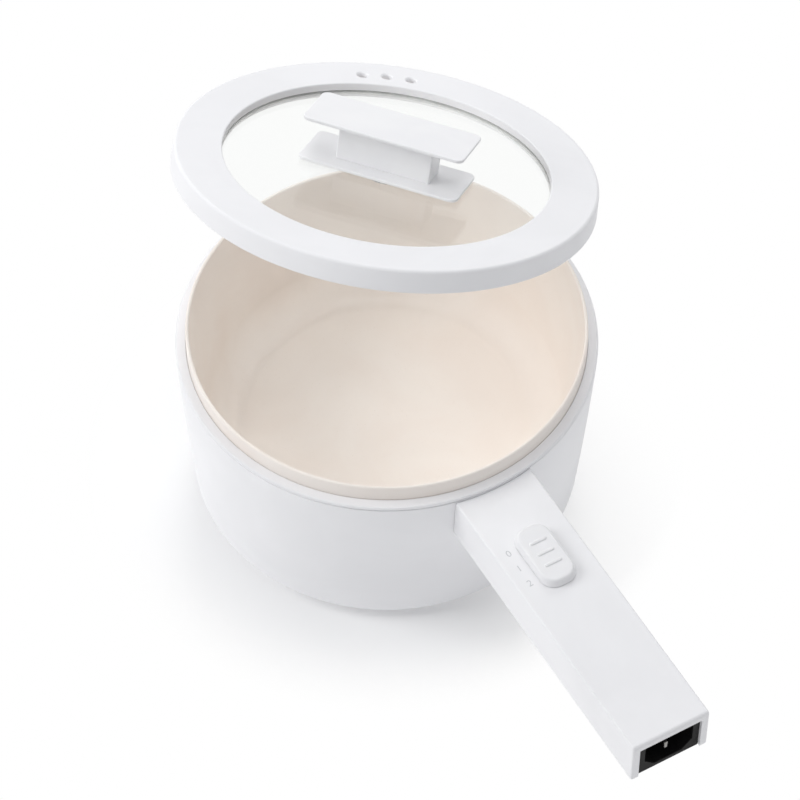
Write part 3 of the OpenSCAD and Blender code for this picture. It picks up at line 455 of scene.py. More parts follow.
def handled(name, values):
    # gloss and tone change a little in soft patches
    finish, tree, shader = startFinish(name)
    low, high = values["gloss"]
    hands = useGroup(tree, handling, -960, 120, Size=values["patchSize"], Low=low, High=high).outputs
    shade = tone(*values["light"])
    if "dark" in values:
        shade = tint(tree, -700, hands["Patch"], shade, tone(*values["dark"]))
    if "speck" in values:
        specks = useGroup(tree, flecks, -960, -120, Density=values["density"])
        shade = tint(tree, -420, specks.outputs["Speck"], shade, tone(*values["speck"]))
    setUp(tree, shader, Roughness=hands["Gloss"], Base_Color=shade)
    return finish, tree, shader


def relief(tree, shader, group, strength, height, **scales):
    pattern = useGroup(tree, group, -760, -380, **scales)
    bump = place(tree, "ShaderNodeBump", -260, -320, Strength=strength, Distance=height * mm,
                 Height=pattern.outputs["Height"])
    setUp(tree, shader, Normal=bump.outputs["Normal"])


def moulded(name, values):
    finish, tree, shader = handled(name, values)
    relief(tree, shader, mouldGrain, values["depth"], reliefHeight["mould"],
           Grain=values["grain"], Wave=values["wave"])
    setUp(tree, shader, IOR=values.get("ior", 1.49), Specular_IOR_Level=values.get("specular", 0.5))
    return finish


def metal(name, values):
    finish, tree, shader = handled(name, values)
    relief(tree, shader, turnedLines, values["depth"], reliefHeight["turned"], Pitch=values["pitch"])
    setUp(tree, shader, Metallic=1.0)
    return finish


def flecked(name, values):
    finish, tree, shader = handled(name, values)
    relief(tree, shader, mouldGrain, values["depth"], reliefHeight["fleck"],
           Grain=values["grain"], Wave=values["wave"])
    setUp(tree, shader, Coat_Weight=values.get("coat", 0.0), Coat_Roughness=0.25)
    return finish


def clearGlass(name, values):
    finish, tree, shader = handled(name, values)
    setUp(tree, shader, Transmission_Weight=1.0, IOR=values["ior"])
    # light passes it straight, so that no dark shadow lies in the pot
    through = place(tree, "ShaderNodeBsdfTransparent", 0, -200, Color=tone(*values["light"]))
    rays = place(tree, "ShaderNodeLightPath", -260, 420)
    either = mixShaders(tree, 320, rays.outputs["Is Shadow Ray"], shader.outputs[0], through.outputs[0])
    setUp(tree, tree.nodes["Material Output"], location=(560, 0), Surface=either)
    return finish


finishes = {
    "shell_white": moulded("shellPlastic", {
        "light": (242, 242, 244), "dark": (238, 238, 240), "gloss": (0.42, 0.5), "patchSize": 16.0,
        "grain": 1600.0, "wave": 40.0, "depth": 0.18}),
    "knob_white": moulded("knobPlastic", {
        "light": (242, 242, 243), "dark": (238, 238, 240), "gloss": (0.3, 0.38), "patchSize": 26.0,
        "grain": 2200.0, "wave": 60.0, "depth": 0.1}),
    "switch_black": moulded("blackPlastic", {
        "light": (9, 9, 10), "dark": (12, 12, 12), "gloss": (0.5, 0.62), "patchSize": 60.0,
        "grain": 2400.0, "wave": 90.0, "depth": 0.3, "specular": 0.16}),
    "seal_grey": moulded("siliconeSeal", {
        "light": (224, 224, 223), "dark": (216, 216, 216), "gloss": (0.55, 0.68), "patchSize": 40.0,
        "grain": 2600.0, "wave": 120.0, "depth": 0.25, "ior": 1.41}),
    "foot_rubber": flecked("footRubber", {
        "light": (70, 70, 71), "dark": (60, 60, 61), "speck": (92, 91, 90), "density": 900.0,
        "gloss": (0.72, 0.86), "patchSize": 80.0, "grain": 2600.0, "wave": 140.0, "depth": 0.5}),
    "pot_coating": flecked("potCeramic", {
        "light": (248, 241, 234), "dark": (245, 236, 228), "speck": (240, 231, 222), "density": 620.0,
        "gloss": (0.34, 0.44), "patchSize": 18.0, "grain": 1300.0, "wave": 70.0, "depth": 0.2, "coat": 0.25}),
    "insulator_ceramic": flecked("firedCeramic", {
        "light": (226, 219, 202), "dark": (216, 208, 190), "speck": (190, 180, 160), "density": 1500.0,
        "gloss": (0.6, 0.75), "patchSize": 90.0, "grain": 2800.0, "wave": 160.0, "depth": 0.5}),
    "bare_aluminium": metal("bareAluminium", {
        "light": (204, 205, 208), "dark": (188, 189, 193), "gloss": (0.3, 0.42), "patchSize": 30.0,
        "pitch": 1400.0, "depth": 0.4}),
    "element_steel": metal("elementSteel", {
        "light": (112, 108, 106), "dark": (92, 84, 80), "gloss": (0.42, 0.6), "patchSize": 60.0,
        "pitch": 1800.0, "depth": 0.3}),
    "bright_steel": metal("brightSteel", {
        "light": (206, 206, 208), "dark": (190, 190, 193), "gloss": (0.2, 0.32), "patchSize": 90.0,
        "pitch": 2400.0, "depth": 0.3}),
    "contact_brass": metal("contactBrass", {
        "light": (222, 184, 110), "dark": (204, 164, 92), "gloss": (0.24, 0.36), "patchSize": 90.0,
        "pitch": 2400.0, "depth": 0.3}),
    "pin_metal": metal("platedPin", {
        "light": (164, 163, 160), "dark": (150, 148, 145), "gloss": (0.28, 0.38), "patchSize": 120.0,
        "pitch": 3000.0, "depth": 0.15}),
    "lid_glass": clearGlass("lidGlass", {
        "light": (250, 251, 250), "gloss": (0.0, 0.03), "patchSize": 14.0, "ior": 1.5}),
}
leadTones = {"brown": ((104, 64, 38), (88, 52, 30), 70.0), "black": ((34, 34, 35), (26, 26, 27), 70.0),
             "blue": ((48, 86, 160), (38, 72, 140), 70.0), "green": ((124, 166, 56), (196, 186, 60), 90.0)}
for colour, (light, dark, patchSize) in leadTones.items():
    finishes["lead_" + colour] = moulded(colour + "Lead", {
        "light": light, "dark": dark, "gloss": (0.4, 0.52), "patchSize": patchSize,
        "grain": 3000.0, "wave": 180.0, "depth": 0.2})
for subpart in frame["record"]["subparts"]:
    materials = frame["nodes"][subpart["node"]].data.materials
    materials.clear()
    materials.append(finishes[subpart["material_slot"]])
print("finishes ready:", len(finishes))

# the lid's pieces are modelled on its seat and then raised about this line
liftSize = {"point": (-150.976, 168.442, 98.7), "heading": -137.9, "dip": -4.78, "angle": 22.78}


def raiseMatrix(point, heading, dip, angle):
    heading, dip = math.radians(heading), math.radians(dip)
    axis = Vector((math.cos(dip) * math.cos(heading), math.cos(dip) * math.sin(heading), math.sin(dip)))
    point = Vector(point) * mm
    turn = Matrix.Rotation(math.radians(angle), 4, axis)
    return Matrix.Translation(point) @ turn @ Matrix.Translation(-point)


raised = raiseMatrix(**liftSize)


def dress(piece, body, slot, *nodes, angle=32):
    smoothFinish(piece, angle)
    if body == "lid":
        settle(piece, raised)
    piece.data.materials.clear()
    piece.data.materials.append(finishes[slot])
    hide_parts(*nodes)
    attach(piece, body)


# shell
shellSize = {"side": {"top": 96.7, "topRadius": 98.2, "cornerRadius": 92.2, "corner": 9.5, "bow": 0.4,
                      "stand": 2.0, "steps": 14},
             "wall": 2.2, "baseHole": 80.1, "riser": 82.3, "ledgeRadius": 64.0, "ledge": (5.1, 7.3),
             "flange": (92.6, 94.8, 93.6), "edge": 0.45, "boss": (4.0, 15.3, 0.4), "bossRing": 70.0,
             "bore": (1.6, -1.75, 9.75), "bolt": (2.1, 20.0, 83.9, 30.0), "passage": (80.0, 110.0, 12.0, 4.0)}


def sideLine(values, inset):
    # from the foot upwards: a quarter circle, then the wall that leans out and bows a little
    corner, low, steps = values["corner"], values["stand"] + values["corner"], values["steps"]
    line = arc(values["cornerRadius"] - corner, low, corner - inset, -90, 0, 12)
    for i in range(1, steps + 1):
        t = i / steps
        r = values["cornerRadius"] + (values["topRadius"] - values["cornerRadius"]) * t
        line.append((r + values["bow"] * 4 * t * (1 - t) - inset, low + (values["top"] - low) * t, 0))
    return line


def makeShell(side, wall, baseHole, riser, ledgeRadius, ledge, flange, edge, boss, bossRing, bore, bolt,
              passage):
    top, topRadius, stand = side["top"], side["topRadius"], side["stand"]
    flangeLow, flangeTop, flangeIn = flange
    ledgeLow, ledgeTop = ledge
    inTop = topRadius - wall
    inside = [p for p in sideLine(side, wall)[:0:-1] if p[1] < flangeLow - 1]
    shell = turnOnLathe("potShell", [
        (baseHole, stand, 0.3), *sideLine(side, 0)[1:-1], (topRadius, top, edge), (inTop, top, 0.3),
        (inTop, flangeTop, 0.2), (flangeIn, flangeTop, 0.2), (flangeIn, flangeLow, 0.2),
        (inTop - 0.15, flangeLow, 0.3), *inside, (riser, stand + wall, 0), (riser, ledgeTop, 0.3),
        (ledgeRadius, ledgeTop, 0.3), (ledgeRadius, ledgeLow, 0.3), (baseHole, ledgeLow, 0.2)])
    bossR, bossTop, bossSink = boss
    boreR, boreLow, boreTop = bore
    for x, y in ringSpots(4, 45, bossRing):
        add(shell, pillar("boss", x, y, bossR, ledgeLow + bossSink, bossTop, 32))
        cut(shell, pillar("bore", x, y, boreR, ledgeLow + boreLow, ledgeLow + boreTop, 24))
    boltR, boltGap, boltHeight, boltLong = bolt
    for y in about(0, boltGap):
        cut(shell, rod("hole", (topRadius, y, boltHeight), boltR, boltLong, 32, along=(1, 0, 0)))
    start, end, wide, high = passage
    cut(shell, box("passage", (start, end), wide, about(boltHeight, high)))
    dress(shell, "pot", "shell_white", "outer_shell")


makeShell(**shellSize)
print("shell made")

# collar, the ring over the thin line
collarSize = {"outer": 98.2, "inner": 93.42, "low": 97.2, "top": 99.0, "spigot": (95.5, 96.95),
              "crown": 1.1, "lowEdge": 0.3}


def makeCollar(outer, inner, low, top, spigot, crown, lowEdge):
    spigotR, spigotLow = spigot
    ring = turnOnLathe("potCollar", [
        (inner, spigotLow, 0), (spigotR, spigotLow, 0), (spigotR, low, 0), (outer, low, lowEdge),
        (outer, top, crown), (inner, top, 0.25)], 6)
    dress(ring, "pot", "shell_white", "top_collar")


makeCollar(**collarSize)

# pot with its coated wall, rounded corner and rolled rim
potSize = {"mouth": 91.6, "floorRadius": 84.0, "corner": 18.0, "wall": 1.7, "floor": 34.6, "under": 31.6,
           "rim": 107.6, "bead": (94.8, 96.3, 95.5), "rimRound": 0.85}


def makePot(mouth, floorRadius, corner, wall, floor, under, rim, bead, rimRound):
    cornerZ, centre, reach = floor + corner, floorRadius - corner, corner + wall
    low, high, out = bead
    wallR = floorRadius + (mouth - floorRadius) * (low - cornerZ) / (rim - cornerZ) + wall
    pot = turnOnLathe("potLiner", [
        (0, under, 0), *arc(centre, under + reach, reach, -90, 0, 16), (wallR, low, 0), (out, low, 0.3),
        (out, high, 0.3), (mouth + wall, high, 0.2),
        *arc(mouth + rimRound, rim - rimRound, rimRound, 0, 180, 12),
        *arc(centre, cornerZ, corner, -90, 0, 16)[::-1], (0, floor, 0)], closed=False)
    dress(pot, "pot", "pot_coating", "inner_pot", angle=40)


makePot(**potSize)
print("collar and pot made")

# base: disc, feet and screws
baseSize = {"radius": 79.8, "low": 2.0, "thick": 3.0, "edge": 0.5, "screwRing": 70.0, "seat": (3.3, 1.7),
            "bore": (1.6, -3.0, 7.0), "footRing": 55.0, "footSeat": (7.1, 1.0), "rings": (24.0, 36.0),
            "groove": ((0, 0), (0.4, 0.4), (1.6, 0.4), (2, 0))}
footSize = {"radius": 7.0, "height": 3.0, "edge": 0.8, "ring": 55.0, "dimple": (3.4, 0.4)}


def makeBase(radius, low, thick, edge, screwRing, seat, bore, footRing, footSeat, rings, groove):
    top = low + thick
    boreR, boreLow, boreTop = bore
    disc = turnOnLathe("baseDisc", [
        (0, low, 0), *[(r + out, low + up, 0) for r in rings for out, up in groove],
        (radius, low, edge), (radius, top, edge), (0, top, 0)], 3, 160, closed=False)
    for x, y in ringSpots(4, 45, screwRing):
        cut(disc, pillar("seat", x, y, seat[0], low - 2 * past, low + seat[1], 40))
        cut(disc, pillar("bore", x, y, boreR, low + boreLow, low + boreTop, 28))
    for x, y in ringSpots(4, 0, footRing):
        cut(disc, pillar("seat", x, y, footSeat[0], low - 2 * past, low + footSeat[1], 48))
    dress(disc, "pot", "shell_white", "base_cover")


def makeFeet(radius, height, edge, ring, dimple):
    dimpleR, dimpleD = dimple
    foot = turnOnLathe("tableFoot", [
        (0, dimpleD, 0), (dimpleR, dimpleD, 0.2), (dimpleR + 0.5, 0, 0.2), (radius, 0, edge),
        (radius, height, 0.2), (0, height, 0)], 4, 48, closed=False)
    feet = repeatAt(foot, "tableFeet", [moved(x, y, 0) for x, y in ringSpots(4, 0, ring)])
    dress(feet, "pot", "foot_rubber", "rubber_feet")


makeBase(**baseSize)
makeFeet(**footSize)


def makeScrew(name, head, high, shank, length, dome):
    # a domed head with a cross recess, drawn head down with its crown at height 0
    end = high + length
    screw = turnOnLathe(name, [
        (0, 0, 0), (head * 0.55, dome * 0.25, 0), (head, dome, dome * 0.5), (head, high, 0.1), (shank, high, 0),
        (shank, end - shank, 0), (shank * 0.25, end, 0.1), (0, end, 0)], 3, 32, closed=False)
    arm, wide, deep = head * 0.55, head * 0.16, high * 0.55  # half sizes of the recess
    for x, y in ((arm, wide), (wide, arm)):
        slit = box("slit", 2 * x, 2 * y, 2 * deep)
        chooseTop(slit)
        resizeChosen(0.55, 0.55, (0, 0, deep))
        cut(screw, slit)
    return screw


def placeScrews(name, shape, spots, node):
    dress(repeatAt(makeScrew(name, **shape), name, spots), "pot", "bright_steel", node)


baseScrewSize = {"shape": {"head": 3.2, "high": 1.6, "shank": 1.5, "length": 9.0, "dome": 0.6},
                 "ring": 70.0, "low": 2.1, "turn": 0.4}


def makeBaseScrews(shape, ring, low, turn):
    spots = [moved(x, y, low) @ Matrix.Rotation(turn + i, 4, "Z")
             for i, (x, y) in enumerate(ringSpots(4, 45, ring))]
    placeScrews("baseScrews", shape, spots, "base_screws")


makeBaseScrews(**baseScrewSize)
print("base, feet and base screws made")

# handle
gripSize = {"wide": 39.4, "top": 96.2, "under": 71.6, "end": 248.0, "start": 92.2, "edge": 1.0, "endEdge": 1.8,
            "footEdge": 0.4, "cavity": (104.2, 31.8), "endWall": 5.1, "roof": 93.2, "plate": 1.2,
            "rootFit": 0.2, "rootTop": 110.0, "window": (31.7, 72.8, 19.3), "windowBack": 244.8,
            "windowEdge": 0.3, "bodyWindow": 27.9, "slot": (26.4, 5.4, 0.5), "middle": 141.8, "boss": 3.0,
            "sink": 0.5, "bossAt": (114.0, 206.0), "bossSide": 12.9, "bore": 1.3, "bossBore": (-0.75, 6.75),
            "earFoot": 86.0, "earGap": 20.6, "earBore": (-2.25, 4.25), "rail": (45.4, 5.8, 11.0, 91.7)}


def makeGrip(wide, top, under, end, start, edge, endEdge, footEdge, cavity, endWall, roof, plate, rootFit,
             rootTop, window, windowBack, windowEdge, bodyWindow, slot, middle, boss, sink, bossAt, bossSide,
             bore, bossBore, earFoot, earGap, earBore, rail):
    grip = box("gripCover", (start, end), wide, (under, top))
    bevelEdges(grip, endEdge, 8, lambda a, b: min(a.x, b.x) > end - near and above(top)(a, b))
    # one soft edge runs along the top, round the end and down to the table side
    bevelEdges(grip, edge, 6, lambda a, b: a.y * b.y > (wide / 2 - near) ** 2 and not below(under)(a, b)
               and max(a.x, b.x) > start + near)
    bevelEdges(grip, footEdge, 3, lambda a, b: below(under)(a, b) and max(a.x, b.x) > start + near)
    # the root follows the shell, and the hollow is open below for the plate
    side = shellSize["side"]
    outline = [(r + rootFit, z, 0) for r, z, sharp in sideLine(side, 0)]
    outline = [(0, 0, 0), *outline, (side["topRadius"] + rootFit, rootTop, 0), (0, rootTop, 0)]
    cut(grip, turnOnLathe("rootCutter", outline, closed=False))
    hollow, hollowWide = cavity
    foot = under + plate
    cut(grip, box("hollow", (hollow, end - endWall), hollowWide, (under - past, roof)))
    cut(grip, box("plateSeat", (hollow, end + past), hollowWide, (under - past, foot)))
    for x in bossAt:
        for y in (-bossSide, bossSide):
            add(grip, pillar("boss", x, y, boss, foot, roof + sink, 32))
            cut(grip, pillar("bore", x, y, bore, foot + bossBore[0], foot + bossBore[1], 24))
    railLong, railIn, railOut, railLow = rail
    for turn in (-1, 1):
        y = turn * earGap / 2
        add(grip, pillar("boss", middle, y, boss, earFoot, roof + sink, 32))
        cut(grip, pillar("bore", middle, y, bore, earFoot + earBore[0], earFoot + earBore[1], 24))
        ends = tuple(sorted((turn * railIn, turn * railOut)))
        add(grip, box("rail", about(middle, railLong), ends, (railLow, roof + sink)))
    windowWide, windowLow, windowHigh = window
    opening = (windowLow, windowLow + windowHigh)
    cut(grip, box("window", (windowBack, end + 2 * past), windowWide, opening))
    cut(grip, box("window", (end - 10 * past, windowBack + past / 2), bodyWindow, opening))
    slotLong, slotWide, slotCorner = slot
    hole = box("slot", about(middle, slotLong), slotWide, (roof - past, top + past))
    bevelEdges(hole, slotCorner, 4, upright)
    cut(grip, hole)
    bevelEdges(grip, windowEdge, 2, lambda a, b: min(a.x, b.x) > end - near and below(opening[1])(a, b)
               and max(abs(a.y), abs(b.y)) < windowWide / 2 + near)
    dress(grip, "pot", "shell_white", "handle_cover")


makeGrip(**gripSize)
print("handle made")

plateSize = {"start": 104.35, "end": 244.65, "wide": 31.5, "under": 71.6, "thick": 1.2, "edge": 0.2,
             "screwAt": (114.0, 206.0), "screwSide": 12.9, "headSeat": 2.5, "seatDeep": 1.0, "bore": 1.3}
gripScrewSize = {"head": 2.4, "high": 1.0, "shank": 1.2, "length": 7.0, "dome": 0.35}


def makePlate(start, end, wide, under, thick, edge, screwAt, screwSide, headSeat, seatDeep, bore):
    plate = box("gripPlate", (start, end), wide, (under, under + thick))
    bevelEdges(plate, edge, 2, lambda a, b: True)
    spots = [(x, y) for x in screwAt for y in (-screwSide, screwSide)]
    for x, y in spots:
        cut(plate, pillar("seat", x, y, headSeat, under - seatDeep, under + seatDeep, 36))
        cut(plate, pillar("bore", x, y, bore, under - 3 * past, under + 3 * past, 24))
    dress(plate, "pot", "shell_white", "handle_bottom")
    # each screw was driven home at a turn of its own
    turned = [moved(x, y, under) @ Matrix.Rotation(math.copysign(0.3, y) + x, 4, "Z") for x, y in spots]
    placeScrews("gripScrews", gripScrewSize, turned, "bottom_plate_screws")


makePlate(**plateSize)
print("handle plate and its screws made")

# slider cap with three ribs for the thumb
capSize = {"middle": 141.8, "low": 96.5, "long": 34.5, "wide": 18.0, "high": 4.0, "corner": 7.2, "lean": 1.25,
           "topEdge": 0.9, "lowEdge": 0.3, "rib": (8.6, 1.8, 0.6), "pitch": 6.6, "stem": (7.0, 4.4, 86.4)}


def makeSlider(middle, low, long, wide, high, corner, lean, topEdge, lowEdge, rib, pitch, stem):
    top = low + high
    cap = box("sliderCap", about(middle, long), wide, (low, top))
    bevelEdges(cap, corner, 10, upright)
    chooseTop(cap)
    resizeChosen(1 - 2 * lean / long, 1 - 2 * lean / wide, (middle, 0, top))  # the sides lean in
    bevelEdges(cap, topEdge, 5, above(top))
    bevelEdges(cap, lowEdge, 2, below(low))
    ribLong, ribWide, proud = rib
    for i in (-1, 0, 1):
        ridge = box("rib", about(middle + i * pitch, ribWide), ribLong, (top - past, top + proud))
        bevelEdges(ridge, ribWide * 0.49, 8, upright)
        bevelEdges(ridge, proud * 0.98, 6, above(top + proud))
        add(cap, ridge)
    stemLong, stemWide, stemFoot = stem
    add(cap, box("stem", about(middle, stemLong), stemWide, (stemFoot, low + past)))
    dress(cap, "slider", "knob_white", "slider_button", angle=40)


makeSlider(**capSize)
print("slider made")

# plain position numbers beside the slider, printed on the handle
numberSize = {"at": (132.2, 141.4, 150.6), "side": -13.3, "top": 96.2, "tall": 3.4, "tallShare": 0.7,
              "thick": 0.02, "ink": {"light": (202, 203, 206), "dark": (212, 213, 216), "gloss": (0.45, 0.6),
                                     "patchSize": 300.0}}


def makeNumbers(at, side, top, tall, tallShare, thick, ink):
    finish = handled("greyInk", ink)[0]
    for i, x in enumerate(at):
        startClean()
        bpy.ops.object.text_add(location=(0, 0, 0))
        text = bpy.context.active_object.data
        text.body = str(i)
        text.size = tall * mm / tallShare
        text.align_x = "CENTER"
        text.align_y = "CENTER"
        text.extrude = thick * mm
        bpy.ops.object.convert(target="MESH")
        mark = newest("mark" + str(i))
        settle(mark, moved(x, side, top) @ Matrix.Rotation(math.radians(90), 4, "Z"))
        mark.data.materials.clear()
        mark.data.materials.append(finish)
        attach(mark, "pot")


makeNumbers(**numberSize)
print("numbers printed")

# mains inlet: black block with its socket, and live, neutral and earth pin as (side, height, tip's inset)
inletSize = {"face": 246.8, "flange": (31.4, 19.0, 2.0), "low": 72.95, "foot": 71.6, "edge": 0.35,
             "body": (27.6, 17.0), "socket": (24.4, 16.4, 16.0), "corner": 5.2, "socketEdge": 0.5, "mouth": 0.4,
             "pin": (2.0, 4.0), "tipEdge": 0.6, "pinEdge": 0.2, "tab": (8.0, 0.8), "eye": (4.8, 0.8, 4.0),
             "pins": ((-7.0, 84.45, 5.5), (7.0, 84.45, 5.5), (0.0, 80.45, 2.0))}


def makeInlet(face, flange, low, foot, edge, body, socket, corner, socketEdge, mouth, pin, tipEdge, pinEdge,
              tab, eye, pins):
    wide, high, thick = flange
    top, middle = low + high, low + high / 2
    bodyWide, bodyLong = body
    back = face - thick - bodyLong
    block = box("inletBlock", (face - thick, face), wide, (foot, top))
    bevelEdges(block, edge, 3, lambda a, b: lengthwise(a, b) or min(a.x, b.x) > face - near)
    add(block, box("inletBody", (back, face - thick / 2), bodyWide, (low, top)))
    socketWide, socketHigh, deep = socket
    hole = box("socket", (face - deep, face + 2 * past), socketWide, about(middle, socketHigh))
    bevelEdges(hole, corner, 1, lambda a, b: lengthwise(a, b) and max(a.z, b.z) < middle)  # two cut corners
    bevelEdges(hole, socketEdge, 3, lengthwise)
    cut(block, hole)
    pinWide, pinHigh = pin
    for y, z, inset in pins:
        cut(block, box("pinHole", (back - past, face - deep + past), about(y, pinWide), about(z, pinHigh)))
    # the socket's mouth is chamfered so that the plug finds its way in
    bevelEdges(block, mouth, 2, lambda a, b: min(a.x, b.x) > face - near
               and max(abs(a.y), abs(b.y)) < socketWide / 2 + near
               and max(abs(a.z - middle), abs(b.z - middle)) < socketHigh / 2 + near)
    dress(block, "pot", "switch_black", "inlet_housing")
    tabLong, tabThick = tab
    eyeAt, eyeR, eyeDeep = eye
    blades = []
    for y, z, inset in pins:
        tip = face - inset
        blade = box("pin", (back, tip), about(y, pinWide), about(z, pinHigh))
        bevelEdges(blade, tipEdge, 4, lambda a, b: min(a.x, b.x) > tip - near)
        bevelEdges(blade, pinEdge, 2, lambda a, b: abs(a.x - b.x) > 2 * tipEdge)
        flag = box("tab", (back - tabLong, back + past), about(y, tabThick), about(z, pinHigh))
        cut(flag, rod("eye", (back - eyeAt, y, z), eyeR, eyeDeep, 20, along=(0, 1, 0)))
        blades.append(add(blade, flag))
    dress(joinPieces("inletPins", blades), "pot", "pin_metal", "inlet_pins")


makeInlet(**inletSize)
print("inlet made")

# lid: ring with its vents, pane, gasket and holder
rimSize = {"seat": 99.3, "top": 110.3, "radius": 96.4, "flare": 0.6, "crown": 1.6, "skirt": 94.4, "roof": 108.4,
           "window": 74.6, "windowEdge": 0.7, "glassEdge": 106.7, "pocket": 78.8, "pocketWall": 80.1,
           "pocketFoot": 101.1, "centring": (88.6, 90.0), "vent": (2.4, -3.25, 0.25), "ventRing": 83.4,
           "ventHeading": 150.6, "ventStep": 7.9, "ventSink": 0.35, "ventDrop": 0.5}


def makeLidRim(seat, top, radius, flare, crown, skirt, roof, window, windowEdge, glassEdge, pocket, pocketWall,
               pocketFoot, centring, vent, ventRing, ventHeading, ventStep, ventSink, ventDrop):
    centringIn, centringOut = centring
    rim = turnOnLathe("lidRim", [
        (skirt, seat, 0.5), (radius + flare, seat, 0.7), (radius, top, crown), (window, top, windowEdge),
        (window, glassEdge, 0.04), (pocket, glassEdge, 0.1), (pocket, pocketFoot, 0.3),
        (pocketWall, pocketFoot, 0.3), (pocketWall, roof, 0.4), (centringIn, roof, 0.4),
        (centringIn, pocketFoot, 0.4), (centringOut, pocketFoot, 0.4), (centringOut, roof, 0.4),
        (skirt, roof, 0.4)], 6)
    ventR, ventLow, ventHigh = vent
    wider = 1 + 2 * ventSink / ventR
    for i in (-1, 0, 1):
        a = math.radians(ventHeading + i * ventStep)
        x, y = ventRing * math.cos(a), ventRing * math.sin(a)
        hole = pillar("vent", x, y, ventR, top + ventLow, top + ventHigh, 40)
        chooseTop(hole)  # it widens to a soft lip
        bpy.ops.transform.translate(value=(0, 0, (-ventDrop - ventSink) * mm))
        bpy.ops.mesh.extrude_region_move(TRANSFORM_OT_translate={"value": (0, 0, 2 * ventSink * mm)})
        resizeChosen(wider, wider, (x, y, top))
        cut(rim, hole)
    dress(rim, "lid", "shell_white", "lid_ring")


makeLidRim(**rimSize)

paneSize = {"radius": 78.4, "edge": 106.66, "thick": 3.54, "rise": 0.2, "window": 74.6, "hole": 4.0,
            "steps": 12}


def makePane(radius, edge, thick, rise, window, hole, steps):
    domeR = (window ** 2 + rise ** 2) / (2 * rise)
    first, last = math.asin(window / domeR), math.asin(hole / domeR)
    turns = [first + (last - first) * i / steps for i in range(steps + 1)]
    dome = [(domeR * math.sin(a), edge + rise - domeR + domeR * math.cos(a), 0) for a in turns]
    pane = turnOnLathe("lidPane", [
        (radius, edge - thick, 0.4), (radius, edge, 0.4), *dome,
        *[(r, z - thick, 0) for r, z, sharp in dome[::-1]]])
    dress(pane, "lid", "lid_glass", "lid_glass", angle=40)


makePane(**paneSize)

holderSize = {"outer": 78.7, "inner": 74.8, "gasket": (102.3, 103.08), "holder": (101.1, 102.28)}


def makeHolders(outer, inner, gasket, holder):
    ring = flatRing("paneGasket", inner, outer, *gasket, (0.2, 0.1, 0.1, 0.2), 3)
    dress(ring, "lid", "seal_grey", "glass_gasket")
    ring = flatRing("paneHolder", inner, outer, *holder, (0.4, 0.2, 0.1, 0.2), 4)
    dress(ring, "lid", "shell_white", "lid_retainer")


makeHolders(**holderSize)
print("lid ring and glass made")

# knob: foot, post and bar, with its seals and screw
knobSize = {"heading": 40.3, "glassTop": 106.9, "seal": (10.0, 0.3), "foot": (76.2, 28.8, 1.6),
            "post": (45.0, 13.4, 18.4), "bar": (76.6, 28.8, 1.6), "corner": 3.5, "postCorner": 0.8,
            "edge": 0.45, "postEdge": 0.18, "bore": 2.6, "reach": 14.0, "lowSeal": (9.3, 102.293, 1.0),
            "washer": (8.6, 1.0), "screw": (4.6, 2.6, 2.5, 1.0)}


def makeKnob(heading, glassTop, seal, foot, post, bar, corner, postCorner, edge, postEdge, bore, reach,
             lowSeal, washer, screw):
    sealR, sealT = seal
    footLow = glassTop + sealT
    postLow = footLow + foot[2]
    turn = Matrix.Rotation(math.radians(heading), 4, "Z")
    blocks = (("knobFoot", foot, footLow, corner, edge, 10, "knob_base"),
              ("knobPost", post, postLow, postCorner, postEdge, reach - foot[2] + 1, "knob_post"),
              ("knobBar", bar, postLow + post[2], corner, edge, 0, "knob_cap"))
    for name, (long, wide, high), low, side, rounding, hole, node in blocks:
        block = box(name, long, wide, (low, low + high))
        bevelEdges(block, side, 8, upright)
        bevelEdges(block, rounding, 4, lambda a, b: not upright(a, b))
        settle(block, turn)
        if hole:
            cut(block, pillar("bore", 0, 0, bore, low - hole, low + hole, 32))
        dress(block, "lid", "knob_white", node)
    lowR, low, lowT = lowSeal
    washerR, washerT = washer
    rings = (("knobSealTop", sealR, glassTop, sealT, "seal_grey", "knob_upper_seal"),
             ("knobSealLow", lowR, low, lowT, "seal_grey", "knob_lower_seal"),
             ("knobWasher", washerR, low - washerT, washerT, "bright_steel", "knob_washer"))
    for name, radius, z, thick, slot, node in rings:
        ring = flatRing(name, bore, radius, z, z + thick, (0.1, thick / 4, thick / 4, 0.1), 3, 64)
        dress(ring, "lid", slot, node)
    head, high, shank, dome = screw
    start = low - washerT - high
    bolt = makeScrew("knobScrew", head, high, shank, glassTop + sealT + reach - start - high, dome)
    dress(settle(bolt, moved(0, 0, start)), "lid", "bright_steel", "knob_screw")


makeKnob(**knobSize)
print("knob made")

# floor, backdrop and light, in metres
# the last entry sets the painted white glow on the floor: for each part, a centre, where it starts and where it
# is full
stageSize = {"half": 3.0, "shade": (250, 250, 250),
             "paintedGlowFades": (((0.0, 0.0, 0.0), 0.098, 0.145), ((0.045, -0.07, 0.0), 0.05, 0.2))}
lightSize = {
    "room": (0.868, 0.875, 0.893, 0.54), "aim": (0.03, 0, 0.1),
    "lamps": (
        ("leftBox", (-0.75, -1.5, 1.25), 1.1, 16.0, (1.0, 1.0, 1.0)),
        ("topBox", (0.1, 0.1, 2.1), 1.3, 8.0, (1.0, 1.0, 1.0)),
        ("backBox", (-1.3, 0.9, 1.2), 0.9, 9.0, (0.99, 0.995, 1.0)),
        ("underBox", (0.0, 0.0, -1.0), 1.6, 6.0, (1.0, 1.0, 1.0)),
    ),
}


def seenRays(tree, x, y):
    # straight from the camera, in a mirror or through glass: there the room is plain white
    rays = place(tree, "ShaderNodeLightPath", x, y).outputs
    first = mathNode(tree, "MAXIMUM", x + 200, y, rays["Is Camera Ray"], rays["Is Glossy Ray"])
    return mathNode(tree, "MAXIMUM", x + 400, y, first, rays["Is Transmission Ray"])


